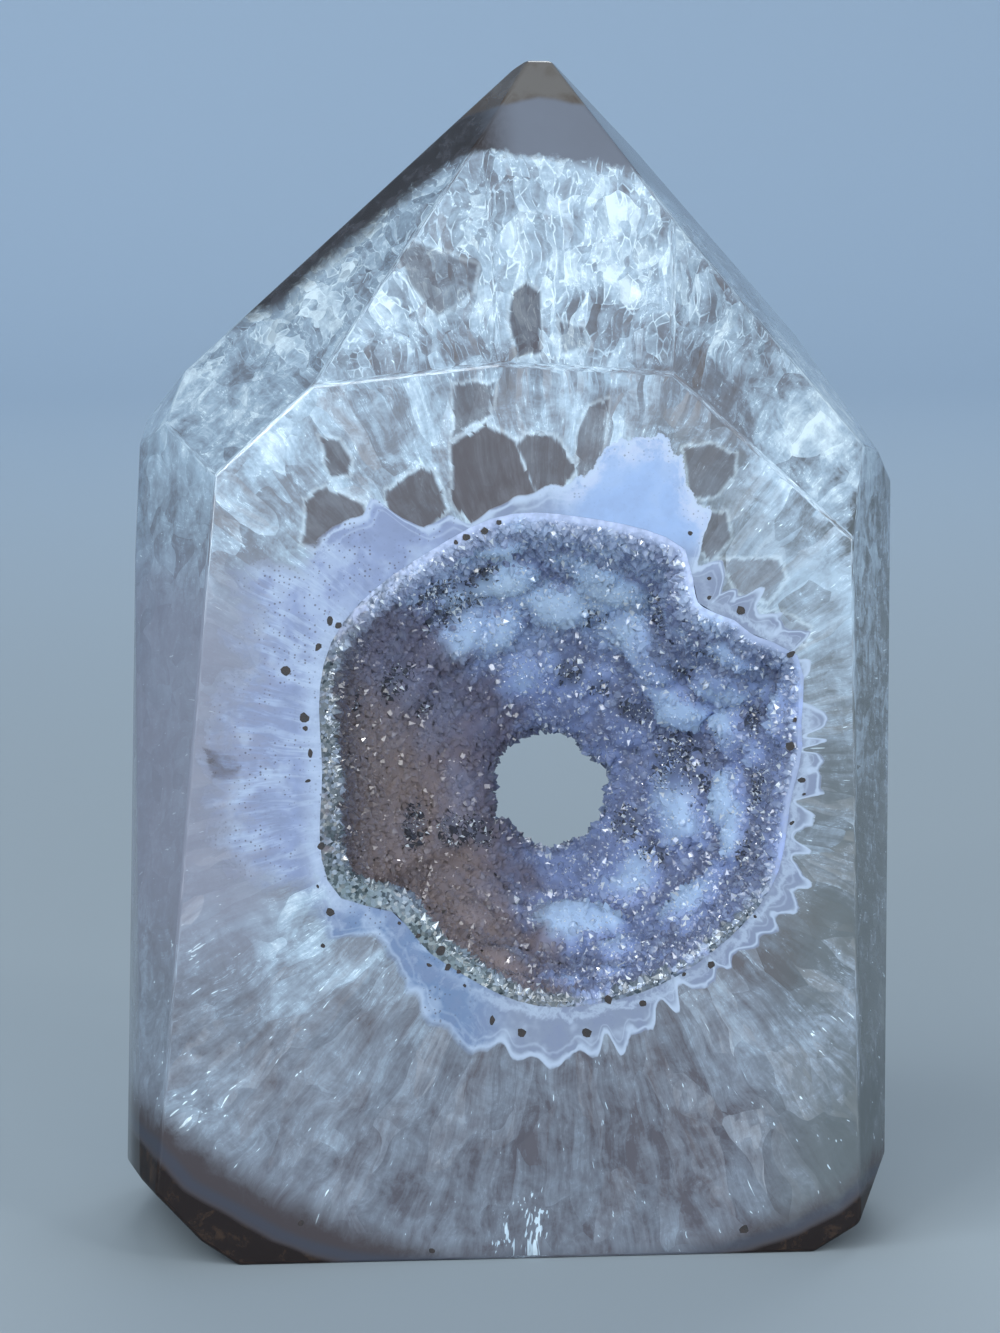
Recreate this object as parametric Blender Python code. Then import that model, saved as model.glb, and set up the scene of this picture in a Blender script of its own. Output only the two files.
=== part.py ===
"""Agate tower: a polished, free-standing point of agate and quartz, with a crystal-lined
hollow that opens in its front face and breaks through its back face as a small ragged hole.

Metres, +Z up. The broad front face looks along -Y, and the origin is on the surface that the
tower stands on, under the middle of its outline.
"""

import math
import random

import bmesh
import bpy
from mathutils import Vector

# Driving dimensions of the stone, and of the block that it is cut from
HEIGHT = 0.0998
HALF_DEPTH = 0.0185
BLANK_WIDTH = 0.090
BLANK_HEIGHT = 0.120
POLISHED_EDGE = 0.0005
FLAT_ANGLE = math.radians(0.5)

# The hollow: its middle at the front face and at the back face, and its outline in the front
# face as (direction in degrees, distance from the middle), with 0 to the right and 90 up
HOLLOW_FRONT_MIDDLE = (0.0020, 0.0415)
HOLLOW_BACK_MIDDLE = (0.0056, 0.0342)
HOLLOW_RIM = (
    (8, 0.0207), (24, 0.0222), (36, 0.0196), (49, 0.0181), (62, 0.0214), (81, 0.0212),
    (103, 0.0219), (120, 0.0214), (147, 0.0220), (180, 0.0198), (207, 0.0214), (222, 0.0181),
    (238, 0.0188), (270, 0.0201), (306, 0.0203), (330, 0.0207), (351, 0.0198),
)
# How the hollow narrows from front to back, as (y, share of the rim's size): a bowl, a short
# neck through the thin back wall, and a slight flare behind it
HOLLOW_PROFILE = (
    (-0.0185, 1.00), (-0.0125, 0.985), (-0.0060, 0.93), (0.0010, 0.83), (0.0065, 0.68),
    (0.0105, 0.50), (0.0128, 0.36), (0.0145, 0.295), (0.0165, 0.288), (0.0185, 0.315),
)
# Three soft folds round the wall turn a little as they go deeper, and fade out at both ends
FOLD_DEPTH = 0.035
FOLDS = 3
FOLD_TURN = 9
CUTTER_REACH = 0.0015

# The crust
CRUST_GAP = 0.0003
CRUST_THICKNESS = 0.0011
NECK_THICKNESS = 0.0008
NECK_START = 0.006
NECK_LENGTH = 0.007
NECK_LUMP_SHARE = 0.2
RIM_SETBACK = 0.0002
RIM_FADE = 0.003

# Smaller lumps fill the crust, apart from its smooth side (directions in degrees)
SMALL_LUMPS = 60
SMALL_LUMP_RADIUS = (0.0018, 0.0030)
SMALL_LUMP_RISE = 0.46
SMALL_LUMP_PLACES = (0.08, 0.74)
SMOOTH_SIDE = (150, 235)

# Quartz points: the share of the crust's faces that have one, their heights as a share of the
# face's size, and the edge of the crust that has none
POINTED_SHARE = 0.34
POINT_HEIGHTS = (0.5, 0.8, 1.15)
POINT_FREE_EDGE = 0.0014

# Steps round the hollow, along its wall, and along the crust's face
ROUND_STEPS = 72
WALL_STEPS = 12
CRUST_STEPS = 28

# Each facet that the cutter ground: which way it is turned (0 faces front, 90 right), how far it
# leans up from upright, and a point that it passes through
FACETS = {
    "front": (0, 0, (0, -HALF_DEPTH, 0)),
    "back": (180, 0, (0, HALF_DEPTH, 0)),
    "left": (-90, 0.9, (-0.0322, 0, 0.054)),
    "left_front": (-75.4, 4.8, (-0.0265, -HALF_DEPTH, 0.0683)),
    "left_back": (-104, 1.6, (-0.0320, 0.0010, 0.054)),
    "right": (90, -1.2, (0.0329, 0, 0.055)),
    "right_front": (71.5, 0.9, (0.0269, -HALF_DEPTH, 0.0553)),
    "right_back": (107, 0.4, (0.0276, HALF_DEPTH, 0.050)),
    "front_slope_left": (-4.5, 35.5, (-0.0030, -HALF_DEPTH, 0.0755)),
    "front_slope_right": (2.6, 35.5, (-0.0030, -HALF_DEPTH, 0.0755)),
    "back_slope": (182, 35.8, (0, HALF_DEPTH, 0.0736)),
    "left_front_slope": (-63.5, 44.8, (0.0010, 0, 0.09975)),
    "left_back_slope": (-116, 44.6, (0.0010, 0, 0.09975)),
    "right_slope": (79, 40.2, (0.0036, 0, 0.0997)),
    "right_front_slope": (31.3, 29.4, (0.0116, -HALF_DEPTH, 0.0745)),
    "right_back_slope": (146, 30.5, (0.0126, HALF_DEPTH, 0.0728)),
    "left_shoulder": (-86, 30.5, (-0.0297, 0, 0.0705)),
    "right_shoulder": (88, 32.0, (0.0300, 0, 0.0685)),
    "tip": (20, 86, (0.0026, 0, HEIGHT)),
    "left_foot": (-84, -43, (-0.0311, -0.0150, 0.0050)),
    "left_foot_under": (-87, -56, (-0.0251, -0.0150, 0)),
    "right_foot": (80, -30.5, (0.0277, -HALF_DEPTH, 0.0026)),
    "right_foot_under": (86, -59, (0.0238, -HALF_DEPTH, 0)),
}

# The larger lumps of the crust: direction and place along the wall (0 front, 1 back), radius,
# and height
LUMPS = (
    (103, 0.29, 0.0036, 0.0019), (87, 0.38, 0.0034, 0.0019), (73, 0.28, 0.0034, 0.0017),
    (59, 0.37, 0.0038, 0.0020), (111, 0.41, 0.0032, 0.0015), (103, 0.57, 0.0036, 0.0015),
    (123, 0.38, 0.0036, 0.0014), (145, 0.38, 0.0032, 0.0010), (33, 0.41, 0.0036, 0.0018),
    (29, 0.27, 0.0032, 0.0015), (19, 0.34, 0.0034, 0.0017), (353, 0.49, 0.0042, 0.0020),
    (353, 0.33, 0.0034, 0.0016), (343, 0.28, 0.0034, 0.0016), (275, 0.63, 0.0036, 0.0018),
    (307, 0.54, 0.0042, 0.0021), (277, 0.42, 0.0048, 0.0027), (317, 0.30, 0.0040, 0.0017),
)


def clear_scene():
    for old in list(bpy.data.objects):
        bpy.data.objects.remove(old, do_unlink=True)


def material(name, colour, roughness):
    made = bpy.data.materials.new(name)
    made.use_nodes = True
    shader = made.node_tree.nodes["Principled BSDF"]
    shader.inputs["Base Color"].default_value = (*colour, 1)
    shader.inputs["Roughness"].default_value = roughness
    shader.inputs["Metallic"].default_value = 0
    return made


def add_object(name, mesh, finish=None):
    made = bpy.data.objects.new(name, mesh)
    bpy.context.collection.objects.link(made)
    if finish:
        mesh.materials.append(finish)
    return made


def facing(turn, lean):
    """The outward direction of a facet turned and leaning by these degrees."""
    turn, lean = math.radians(turn), math.radians(lean)
    return Vector((
        math.sin(turn) * math.cos(lean),
        -math.cos(turn) * math.cos(lean),
        math.sin(lean),
    ))


def cut_blank():
    """A block, ground flat on each facet in turn, its edges then softened by polishing."""
    shape = bmesh.new()
    bmesh.ops.create_cube(shape, size=1)
    for corner in shape.verts:
        corner.co.x *= BLANK_WIDTH
        corner.co.y *= BLANK_WIDTH
        corner.co.z = (corner.co.z + 0.5) * BLANK_HEIGHT
    for turn, lean, point in FACETS.values():
        everything = shape.verts[:] + shape.edges[:] + shape.faces[:]
        cut = bmesh.ops.bisect_plane(
            shape, geom=everything, plane_co=point, plane_no=facing(turn, lean), clear_outer=True
        )
        rim = [part for part in cut["geom_cut"] if isinstance(part, bmesh.types.BMEdge)]
        bmesh.ops.edgenet_fill(shape, edges=rim)
    bmesh.ops.dissolve_limit(
        shape, angle_limit=FLAT_ANGLE, verts=shape.verts[:], edges=shape.edges[:]
    )
    bmesh.ops.recalc_face_normals(shape, faces=shape.faces[:])
    bmesh.ops.bevel(
        shape, geom=shape.edges[:], offset=POLISHED_EDGE, segments=2, profile=0.5,
        affect="EDGES", clamp_overlap=True,
    )
    mesh = bpy.data.meshes.new("stone")
    shape.to_mesh(mesh)
    shape.free()
    return mesh


def through_points(points, share):
    """A smooth curve through the points, at a share from 0 to 1 of the way along them."""
    last = len(points) - 1
    place = min(max(share, 0.0), 1.0) * last
    start = min(int(place), last - 1)
    part = place - start
    near = [points[min(max(start + step, 0), last)] for step in (-1, 0, 1, 2)]
    return tuple(
        0.5 * (2 * b + (c - a) * part + (2 * a - 5 * b + 4 * c - d) * part**2
               + (3 * b - a - 3 * c + d) * part**3)
        for a, b, c, d in zip(*near)
    )


def rim_distance(angle):
    """Distance from the hollow's middle to its rim in the front face, in this direction."""
    angle %= 360
    points = HOLLOW_RIM + tuple((turn + 360, far) for turn, far in HOLLOW_RIM[:2])
    points = ((HOLLOW_RIM[-1][0] - 360, HOLLOW_RIM[-1][1]),) + points
    for (turn_a, far_a), (turn_b, far_b) in zip(points, points[1:]):
        if turn_a <= angle <= turn_b:
            part = (angle - turn_a) / (turn_b - turn_a)
            ease = part * part * (3 - 2 * part)
            return far_a + (far_b - far_a) * ease
    raise ValueError("the rim's directions do not go all the way round")


def hollow_point(angle, along):
    """A point of the hollow's wall: direction in degrees, place along it from 0 to 1."""
    y, size = through_points(HOLLOW_PROFILE, along)
    back = (y + HALF_DEPTH) / (2 * HALF_DEPTH)
    middle_x, middle_z = (
        front + (rear - front) * back
        for front, rear in zip(HOLLOW_FRONT_MIDDLE, HOLLOW_BACK_MIDDLE)
    )
    turn = math.radians(angle)
    fold = FOLD_DEPTH * math.sin(FOLDS * turn + FOLD_TURN * along) * math.sin(math.pi * along)
    distance = rim_distance(angle) * size * (1 + fold)
    return Vector((
        middle_x + distance * math.cos(turn), y, middle_z + distance * math.sin(turn)
    ))


def into_stone(angle, along, near=0.004, aside=2):
    """The direction from the hollow's wall into the stone, from places near this one."""
    low, high = max(along - near, 0), min(along + near, 1)
    deeper = hollow_point(angle, high) - hollow_point(angle, low)
    around = hollow_point(angle + aside, along) - hollow_point(angle - aside, along)
    return deeper.cross(around).normalized()


def loft(shape, rings, closed_round=True):
    """Faces between rings of points, each ring going round the same way."""
    rows = [[shape.verts.new(point) for point in ring] for ring in rings]
    pairs = list(zip(rows, rows[1:]))
    if closed_round:
        pairs.append((rows[-1], rows[0]))
    count = len(rows[0])
    for first, second in pairs:
        for step in range(count):
            after = (step + 1) % count
            shape.faces.new((first[step], second[step], second[after], first[after]))
    return rows


def hollow_cutter():
    """The closed shape that is taken out of the stone, reaching past its front and back."""
    angles = [360 * step / ROUND_STEPS for step in range(ROUND_STEPS)]
    rings = [
        [hollow_point(angle, step / WALL_STEPS) for angle in angles]
        for step in range(WALL_STEPS + 1)
    ]
    reach = Vector((0, CUTTER_REACH, 0))
    rings.insert(0, [point - reach for point in rings[0]])
    rings.append([point + reach for point in rings[-1]])
    shape = bmesh.new()
    rows = loft(shape, rings, closed_round=False)
    shape.faces.new(rows[0])
    shape.faces.new(rows[-1][::-1])
    bmesh.ops.recalc_face_normals(shape, faces=shape.faces[:])
    mesh = bpy.data.meshes.new("hollow_cutter")
    shape.to_mesh(mesh)
    shape.free()
    cutter = add_object("hollow_cutter", mesh)
    cutter.hide_render = True
    cutter.display_type = "WIRE"
    return cutter


def all_lumps():
    """The larger lumps, and smaller ones between them, as (middle, radius, height)."""
    chance = random.Random(11)
    lumps = [
        (hollow_point(angle, along), radius, height) for angle, along, radius, height in LUMPS
    ]
    for _ in range(SMALL_LUMPS):
        angle, along = chance.uniform(0, 360), chance.uniform(*SMALL_LUMP_PLACES)
        radius = chance.uniform(*SMALL_LUMP_RADIUS)
        if not SMOOTH_SIDE[0] < angle < SMOOTH_SIDE[1]:
            lumps.append((hollow_point(angle, along), radius, SMALL_LUMP_RISE * radius))
    return lumps


def crust_rise(place, lumps):
    """How far the lumps stand up from the crust here: the tallest one that covers the place."""
    rise = 0.0
    for middle, radius, height in lumps:
        far = (place - middle).length / radius
        if far < 1:
            rise = max(rise, height * math.sqrt(1 - far * far))
    return rise


def between(value, low, high):
    return min(max(value, low), high)


def crust_ring(along, inward):
    """A ring of the crust, moved off the hollow's wall by what inward gives for each place.
    The first ring lies in the crust's flat front edge, and the last in its back edge."""
    edge = HALF_DEPTH - RIM_SETBACK
    ends = {0: -edge, 1: edge}
    ring = []
    for step in range(ROUND_STEPS):
        angle = 360 * step / ROUND_STEPS
        place = hollow_point(angle, along)
        moved = place - into_stone(angle, along) * inward(place)
        moved.y = ends.get(along, between(moved.y, -edge, edge))
        ring.append(moved)
    return ring


def crust_mesh():
    """The lining of the hollow: outer skin next to the stone, lumpy face of crystals inside."""
    lumps = all_lumps()

    def lumpy(place):
        neck = between((place.y - NECK_START) / NECK_LENGTH, 0, 1)
        rim = between((place.y + HALF_DEPTH) / RIM_FADE, 0, 1)
        body = CRUST_THICKNESS + (NECK_THICKNESS - CRUST_THICKNESS) * neck
        lump_share = rim * (1 - (1 - NECK_LUMP_SHARE) * neck)
        return CRUST_GAP + body + crust_rise(place, lumps) * lump_share

    inner = [crust_ring(step / CRUST_STEPS, lumpy) for step in range(CRUST_STEPS + 1)]
    outer = [
        crust_ring(step / WALL_STEPS, lambda place: CRUST_GAP) for step in range(WALL_STEPS + 1)
    ]
    shape = bmesh.new()
    rows = loft(shape, inner + outer[::-1])
    bmesh.ops.recalc_face_normals(shape, faces=shape.faces[:])
    raise_points(shape, {corner for row in rows[: CRUST_STEPS + 1] for corner in row})
    mesh = bpy.data.meshes.new("druse_crust")
    shape.to_mesh(mesh)
    shape.free()
    return mesh


def raise_points(shape, face_corners):
    """Flat-faced quartz points, each grown from one face of the crust, in step with its size."""
    chance = random.Random(5)
    sizes = {height: [] for height in POINT_HEIGHTS}
    for face in shape.faces:
        on_crust = all(corner in face_corners for corner in face.verts)
        inside = abs(face.calc_center_median().y) < HALF_DEPTH - POINT_FREE_EDGE
        if on_crust and inside and chance.random() < POINTED_SHARE:
            sizes[chance.choice(POINT_HEIGHTS)].append(face)
    for height, faces in sizes.items():
        bmesh.ops.poke(
            shape, faces=faces, offset=height, center_mode="MEAN", use_relative_offset=True
        )


def make_stone():
    finish = material("polished_agate", (0.29, 0.37, 0.48), 0.08)
    stone = add_object("stone", cut_blank(), finish)
    cut = stone.modifiers.new("hollow", "BOOLEAN")
    cut.operation = "DIFFERENCE"
    cut.solver = "EXACT"
    cut.object = hollow_cutter()


def make_crust():
    finish = material("quartz_druse", (0.36, 0.46, 0.68), 0.35)
    add_object("druse_crust", crust_mesh(), finish)


clear_scene()
make_stone()
make_crust()
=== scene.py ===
# %% [markdown]
# # An agate tower with a crystal-lined hollow
#
# This lesson dresses a finished solid model of a polished stone point. The stone was cut from a
# geode: in its middle is a hollow lined with sparkling quartz, round that lies a milky lavender
# band, and the rest is fractured quartz that ends in grey and brown bands at the tip and the
# feet. The solid has the right sizes already, so nothing here changes them.

# %% Load the solid model
import math
import random
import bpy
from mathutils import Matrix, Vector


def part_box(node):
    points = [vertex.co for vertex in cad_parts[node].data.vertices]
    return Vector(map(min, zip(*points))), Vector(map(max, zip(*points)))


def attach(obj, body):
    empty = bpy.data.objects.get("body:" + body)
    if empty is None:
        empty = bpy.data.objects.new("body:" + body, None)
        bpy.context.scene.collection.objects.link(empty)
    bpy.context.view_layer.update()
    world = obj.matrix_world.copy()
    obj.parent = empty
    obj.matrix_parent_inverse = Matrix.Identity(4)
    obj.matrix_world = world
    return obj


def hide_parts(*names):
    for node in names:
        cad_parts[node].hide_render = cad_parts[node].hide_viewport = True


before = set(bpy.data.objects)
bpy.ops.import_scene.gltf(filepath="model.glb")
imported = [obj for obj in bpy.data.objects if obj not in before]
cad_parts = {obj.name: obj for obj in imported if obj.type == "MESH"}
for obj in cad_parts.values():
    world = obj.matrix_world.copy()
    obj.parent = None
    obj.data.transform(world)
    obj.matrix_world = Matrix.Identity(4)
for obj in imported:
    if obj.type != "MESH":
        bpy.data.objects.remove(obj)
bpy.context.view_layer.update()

from types import SimpleNamespace

import bpy
import numpy as np
from mathutils import Vector

stone_low, stone_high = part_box("stone")
print("stone from", tuple(stone_low), "to", tuple(stone_high))

# %% [markdown]
# ## Sizes that everything else follows
#
# Lengths are in metres for meshes. Patterns in materials are easier to think of in millimetres,
# so they are written that way and the material multiplies its coordinates by a thousand. The
# hollow is a slanted bowl: its middle in the front face and its middle in the back face give its
# axis, and its outline in the front face is a list of directions (degrees, 0 right, 90 up) and
# distances from that middle.

# %% The hollow's measures
MM, MILLIMETRES = 0.001, 1000
HALF_DEPTH = stone_high.y
FRONT_MIDDLE = np.array((0.0020, 0.0415))
BACK_MIDDLE = np.array((0.0056, 0.0342))
RIM = np.array((
    (8, 0.0207), (24, 0.0222), (36, 0.0196), (49, 0.0181), (62, 0.0214), (81, 0.0212),
    (103, 0.0219), (120, 0.0214), (147, 0.0220), (180, 0.0198), (207, 0.0214), (222, 0.0181),
    (238, 0.0188), (270, 0.0201), (306, 0.0203), (330, 0.0207), (351, 0.0198),
))
NARROWING = np.array((
    (-0.0185, 1.00), (-0.0125, 0.985), (-0.0060, 0.93), (0.0010, 0.83), (0.0065, 0.68),
    (0.0105, 0.50), (0.0128, 0.36), (0.0145, 0.295), (0.0165, 0.288), (0.0185, 0.315),
))
FOLD_DEPTH, FOLDS, FOLD_TURN = 0.035, 3, 9


def rim_distance(turn):
    """Distance from the hollow's middle to its rim in the front face, for directions in degrees."""
    turns = np.concatenate((RIM[-1:, 0] - 360, RIM[:, 0], RIM[:2, 0] + 360))
    far = np.concatenate((RIM[-1:, 1], RIM[:, 1], RIM[:2, 1]))
    turn = np.mod(turn, 360)
    start = np.clip(np.searchsorted(turns, turn, side="right") - 1, 0, len(turns) - 2)
    part = (turn - turns[start]) / (turns[start + 1] - turns[start])
    return far[start] + (far[start + 1] - far[start]) * part * part * (3 - 2 * part)


print("hollow at the front face:", 2 * MILLIMETRES * rim_distance(np.array((0, 90))), "mm across")

# %% Places on the hollow's wall
NEARBY, NEARBY_TURN = 0.004, 2


def narrowing(along):
    """Depth and share of the rim's size for places from 0 (front) to 1 (back) of the wall."""
    place = np.clip(along, 0, 1) * (len(NARROWING) - 1)
    start = np.minimum(place.astype(int), len(NARROWING) - 2)
    part = (place - start)[..., None]
    a, b, c, d = (NARROWING[np.clip(start + step, 0, len(NARROWING) - 1)] for step in (-1, 0, 1, 2))
    curve = 2 * b + (c - a) * part + (2 * a - 5 * b + 4 * c - d) * part**2
    return np.moveaxis(0.5 * (curve + (3 * b - a - 3 * c + d) * part**3), -1, 0)


def wall_place(turn, along):
    """Points of the hollow's wall, for directions in degrees and places along the wall."""
    turn, along = np.broadcast_arrays(np.asarray(turn, float), np.asarray(along, float))
    depth, size = narrowing(along)
    back = ((depth + HALF_DEPTH) / (2 * HALF_DEPTH))[..., None]
    middle = FRONT_MIDDLE + (BACK_MIDDLE - FRONT_MIDDLE) * back
    fold = FOLD_DEPTH * np.sin(FOLDS * np.radians(turn) + FOLD_TURN * along)
    far = rim_distance(turn) * size * (1 + fold * np.sin(np.pi * along))
    across = middle[..., 0] + far * np.cos(np.radians(turn))
    up = middle[..., 1] + far * np.sin(np.radians(turn))
    return np.stack((across, depth, up), axis=-1)


def into_stone(turn, along):
    """The direction from the hollow's wall into the stone."""
    after = wall_place(turn, np.clip(along + NEARBY, 0, 1))
    before = wall_place(turn, np.clip(along - NEARBY, 0, 1))
    around = wall_place(turn + NEARBY_TURN, along) - wall_place(turn - NEARBY_TURN, along)
    out = np.cross(after - before, around)
    return out / np.linalg.norm(out, axis=-1, keepdims=True)


print("hollow's wall on the right, from front to back:", wall_place(0, (0.0, 0.5, 1.0)).tolist())

# %% [markdown]
# ## A short way to write materials
#
# A material here is a long chain of small steps: where am I, how far from the hollow, which
# band is this, how white is it. Wiring each node by hand would bury the idea, so this class adds
# a node and links its inputs in one call. Each method gives back the socket that holds its
# result, and a plain number or colour can stand wherever a socket can.

# %% A class that writes node materials
FIRST_COLOUR, SECOND_COLOUR, MIXED_COLOUR = 6, 7, 2
HALF = (0.5, 0.5, 0.5)
NUMBER_RESULTS = ("LENGTH", "DISTANCE", "DOT_PRODUCT")


class Finish:
    def __init__(self, name):
        self.material = bpy.data.materials.new(name)
        self.material.use_nodes = True
        self.tree = self.material.node_tree
        self.shader = self.tree.nodes["Principled BSDF"]

    def fill(self, socket, value):
        if isinstance(value, bpy.types.NodeSocket):
            self.tree.links.new(value, socket)
        elif socket.type == "RGBA" and not isinstance(value, (int, float)):
            socket.default_value = (*value[:3], 1)
        else:
            socket.default_value = value

    def set(self, node, **inputs):
        for name, value in inputs.items():
            self.fill(node.inputs[name.replace("_", " ")], value)

    def node(self, kind, *values, **settings):
        """Adds a node, gives it its settings, and fills its inputs in their order."""
        made = self.tree.nodes.new("ShaderNode" + kind)
        for name, value in settings.items():
            setattr(made, name, value)
        for socket, value in zip(made.inputs, values):
            self.fill(socket, value)
        return made

    # Numbers
    def math(self, operation, *values, clamp=False):
        return self.node("Math", *values, operation=operation, use_clamp=clamp).outputs[0]

    def add(self, total, *values):
        for value in values:
            total = self.math("ADD", total, value)
        return total

    def times(self, total, *values):
        for value in values:
            total = self.math("MULTIPLY", total, value)
        return total

    def minus(self, a, b):
        return self.math("SUBTRACT", a, b)

    def plus(self, base, value, amount, clamp=False):
        """The base and an amount of the value."""
        return self.math("MULTIPLY_ADD", value, amount, base, clamp=clamp)

    def larger(self, a, b):
        return self.math("MAXIMUM", a, b)

    def unsigned(self, value):
        return self.math("ABSOLUTE", value)

    def swing(self, noise, amount=None):
        """A pattern from 0 to 1, moved so that it swings evenly about 0."""
        evened = self.add(noise, -0.5)
        return evened if amount is None else self.times(evened, amount)

    def step(self, value, start, end, low=0.0, high=1.0, smooth=True):
        """Goes from low to high while value goes from start to end."""
        made = self.node("MapRange", interpolation_type="SMOOTHSTEP" if smooth else "LINEAR")
        places = ("Value", "From Min", "From Max", "To Min", "To Max")
        for name, number in zip(places, (value, start, end, low, high)):
            self.fill(made.inputs[name], number)
        return made.outputs["Result"]

    def between(self, share, low, high):
        """Goes from low to high while share goes from 0 to 1."""
        return self.step(share, 0.0, 1.0, low, high)

    def stripe(self, value, middle, reach, full=0.0):
        """1 where value is middle, and 0 where it is further off than reach."""
        return self.step(self.unsigned(self.add(value, -middle)), reach, full)

    def curve(self, value, points):
        """A curve of straight lines: points are (value from 0 to 1, result from 0 to 1)."""
        made = self.node("FloatCurve")
        self.fill(made.inputs["Value"], value)
        line = made.mapping.curves[0]
        line.points[0].location = points[0]
        line.points[1].location = points[-1]
        for place in points[1:-1]:
            line.points.new(*place)
        for point in line.points:
            point.handle_type = "VECTOR"
        made.mapping.update()
        return made.outputs[0]

    # Places and directions
    def vector(self, operation, *values):
        made = self.node("VectorMath", *values, operation=operation)
        return made.outputs["Value" if operation in NUMBER_RESULTS else "Vector"]

    def scaled(self, vector, amount):
        made = self.node("VectorMath", operation="SCALE")
        self.set(made, Vector=vector, Scale=amount)
        return made.outputs["Vector"]

    def moved(self, place, way, amount):
        """A place moved some way, by one amount or by one for each axis."""
        amounts = amount if isinstance(amount, tuple) else (amount, amount, amount)
        return self.vector("MULTIPLY_ADD", way, amounts, place)

    def evened(self, colour):
        """A random colour as a random direction."""
        return self.vector("SUBTRACT", colour, HALF)

    def parts(self, vector):
        return tuple(self.node("SeparateXYZ", vector).outputs)

    def joined(self, x, y, z):
        return self.node("CombineXYZ", x, y, z).outputs[0]

    def in_mm(self):
        """The place on the object, in millimetres."""
        return self.scaled(self.node("TexCoord").outputs["Object"], MILLIMETRES)

    def facing(self):
        """The direction that the surface faces."""
        return self.node("NewGeometry").outputs["Normal"]

    def attribute(self, name, output="Fac"):
        return self.node("Attribute", attribute_name=name).outputs[output]

    # Colours and patterns
    def blend(self, share, first, second):
        """Colour that goes from first to second as share goes from 0 to 1."""
        made = self.node("Mix", data_type="RGBA", blend_type="MIX", clamp_factor=True)
        self.fill(made.inputs["Factor"], share)
        self.fill(made.inputs[FIRST_COLOUR], first)
        self.fill(made.inputs[SECOND_COLOUR], second)
        return made.outputs[MIXED_COLOUR]

    def layered(self, colour, layers):
        """A colour under layers of others, each given as its share and its colour."""
        for share, tone in layers:
            colour = self.blend(share, colour, tone)
        return colour

    def noise(self, place, scale, detail=2.0, roughness=0.5, output=0):
        made = self.node("TexNoise")
        self.set(made, Vector=place, Scale=scale, Detail=detail, Roughness=roughness)
        return made.outputs[output]

    def cells(self, place, scale, feature="F1", dimensions="3D"):
        made = self.node("TexVoronoi", feature=feature, voronoi_dimensions=dimensions)
        self.set(made, Vector=place, Scale=scale)
        return made


print("a finish can", ", ".join(name for name in vars(Finish) if not name.startswith("_")))

# %% [markdown]
# ## Everything follows the hollow
#
# In a geode the milky band, the quartz that grew outside it and the rind all follow the hollow.
# So the material first finds its own direction and distance from the hollow's middle, and each
# boundary is a drawn curve of distance against direction. One curve node keeps about 250
# values, which is too few for the jagged milky edge, so that one is drawn as two half turns.

# %% Direction and distance from the hollow
LARGEST = 70.0


def round_curve(finish, turn, table, pieces=1):
    """Distance in mm for a direction (0 to 1 for a whole turn), from a table of (degrees, mm)."""
    closed = [(table[-1][0] - 360, table[-1][1]), *table, (table[0][0] + 360, table[0][1])]
    degrees, distances = zip(*closed)
    total = 0.0
    for piece in range(pieces):
        low, high = 360 * piece / pieces, 360 * (piece + 1) / pieces
        inside = [(angle, far) for angle, far in closed if low < angle < high]
        first, last = [(edge, float(np.interp(edge, degrees, distances))) for edge in (low, high)]
        drawn = (first, *inside, last)
        points = [((angle - low) / (high - low), far / LARGEST) for angle, far in drawn]
        share = finish.plus(-float(piece), turn, float(pieces))
        distance = finish.curve(share, points)
        if pieces > 1:
            distance = finish.times(distance, finish.math("COMPARE", share, 0.5, 0.5))
        total = distance if piece == 0 else finish.add(total, distance)
    return finish.times(total, LARGEST)


def around_hollow(finish, place):
    """Direction as a share of a turn, distance and unit direction from the hollow's axis, in mm."""
    x, y, z = finish.parts(place)
    depth = MILLIMETRES * HALF_DEPTH
    back = finish.step(y, -depth, depth, 0, 1, smooth=False)
    middles = zip(MILLIMETRES * FRONT_MIDDLE, MILLIMETRES * BACK_MIDDLE)
    shift_x, shift_z = (finish.step(back, 0, 1, a, b, smooth=False) for a, b in middles)
    across, up = finish.minus(x, shift_x), finish.minus(z, shift_z)
    flat = finish.joined(across, 0.0, up)
    far = finish.vector("LENGTH", flat)
    turn = finish.math("ARCTAN2", up, across)
    turn = finish.math("FRACT", finish.add(finish.times(turn, 1 / (2 * math.pi)), 1.0))
    return turn, far, finish.vector("NORMALIZE", flat), back


print("curves go up to", LARGEST, "mm from the hollow's middle")

# %% [markdown]
# ## The polished stone
#
# The stone is one piece of mineral with several finishes that run into each other, so it has one
# material that works out each zone and mixes them. It is written in steps. Each step adds what
# it finds out about the place under the light to one notebook, which is called here.
#
# Each ground facet looks into the stone from another side, so the patterns are moved by the
# facet's own direction, and they break at the facet edges as in a real stone. The crystals grew
# outwards, so one of the patterns is a fan that is drawn out away from the hollow.

# %% Where a place is, for the patterns of the stone
FACET_SHIFT = 5.0
SWAY_SCALE, INNER_SWAY, FAN_SWAY = 0.22, 3.0, 1.1
FAN_RAYS, FAN_STRETCH = 30.0, 0.16


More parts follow.
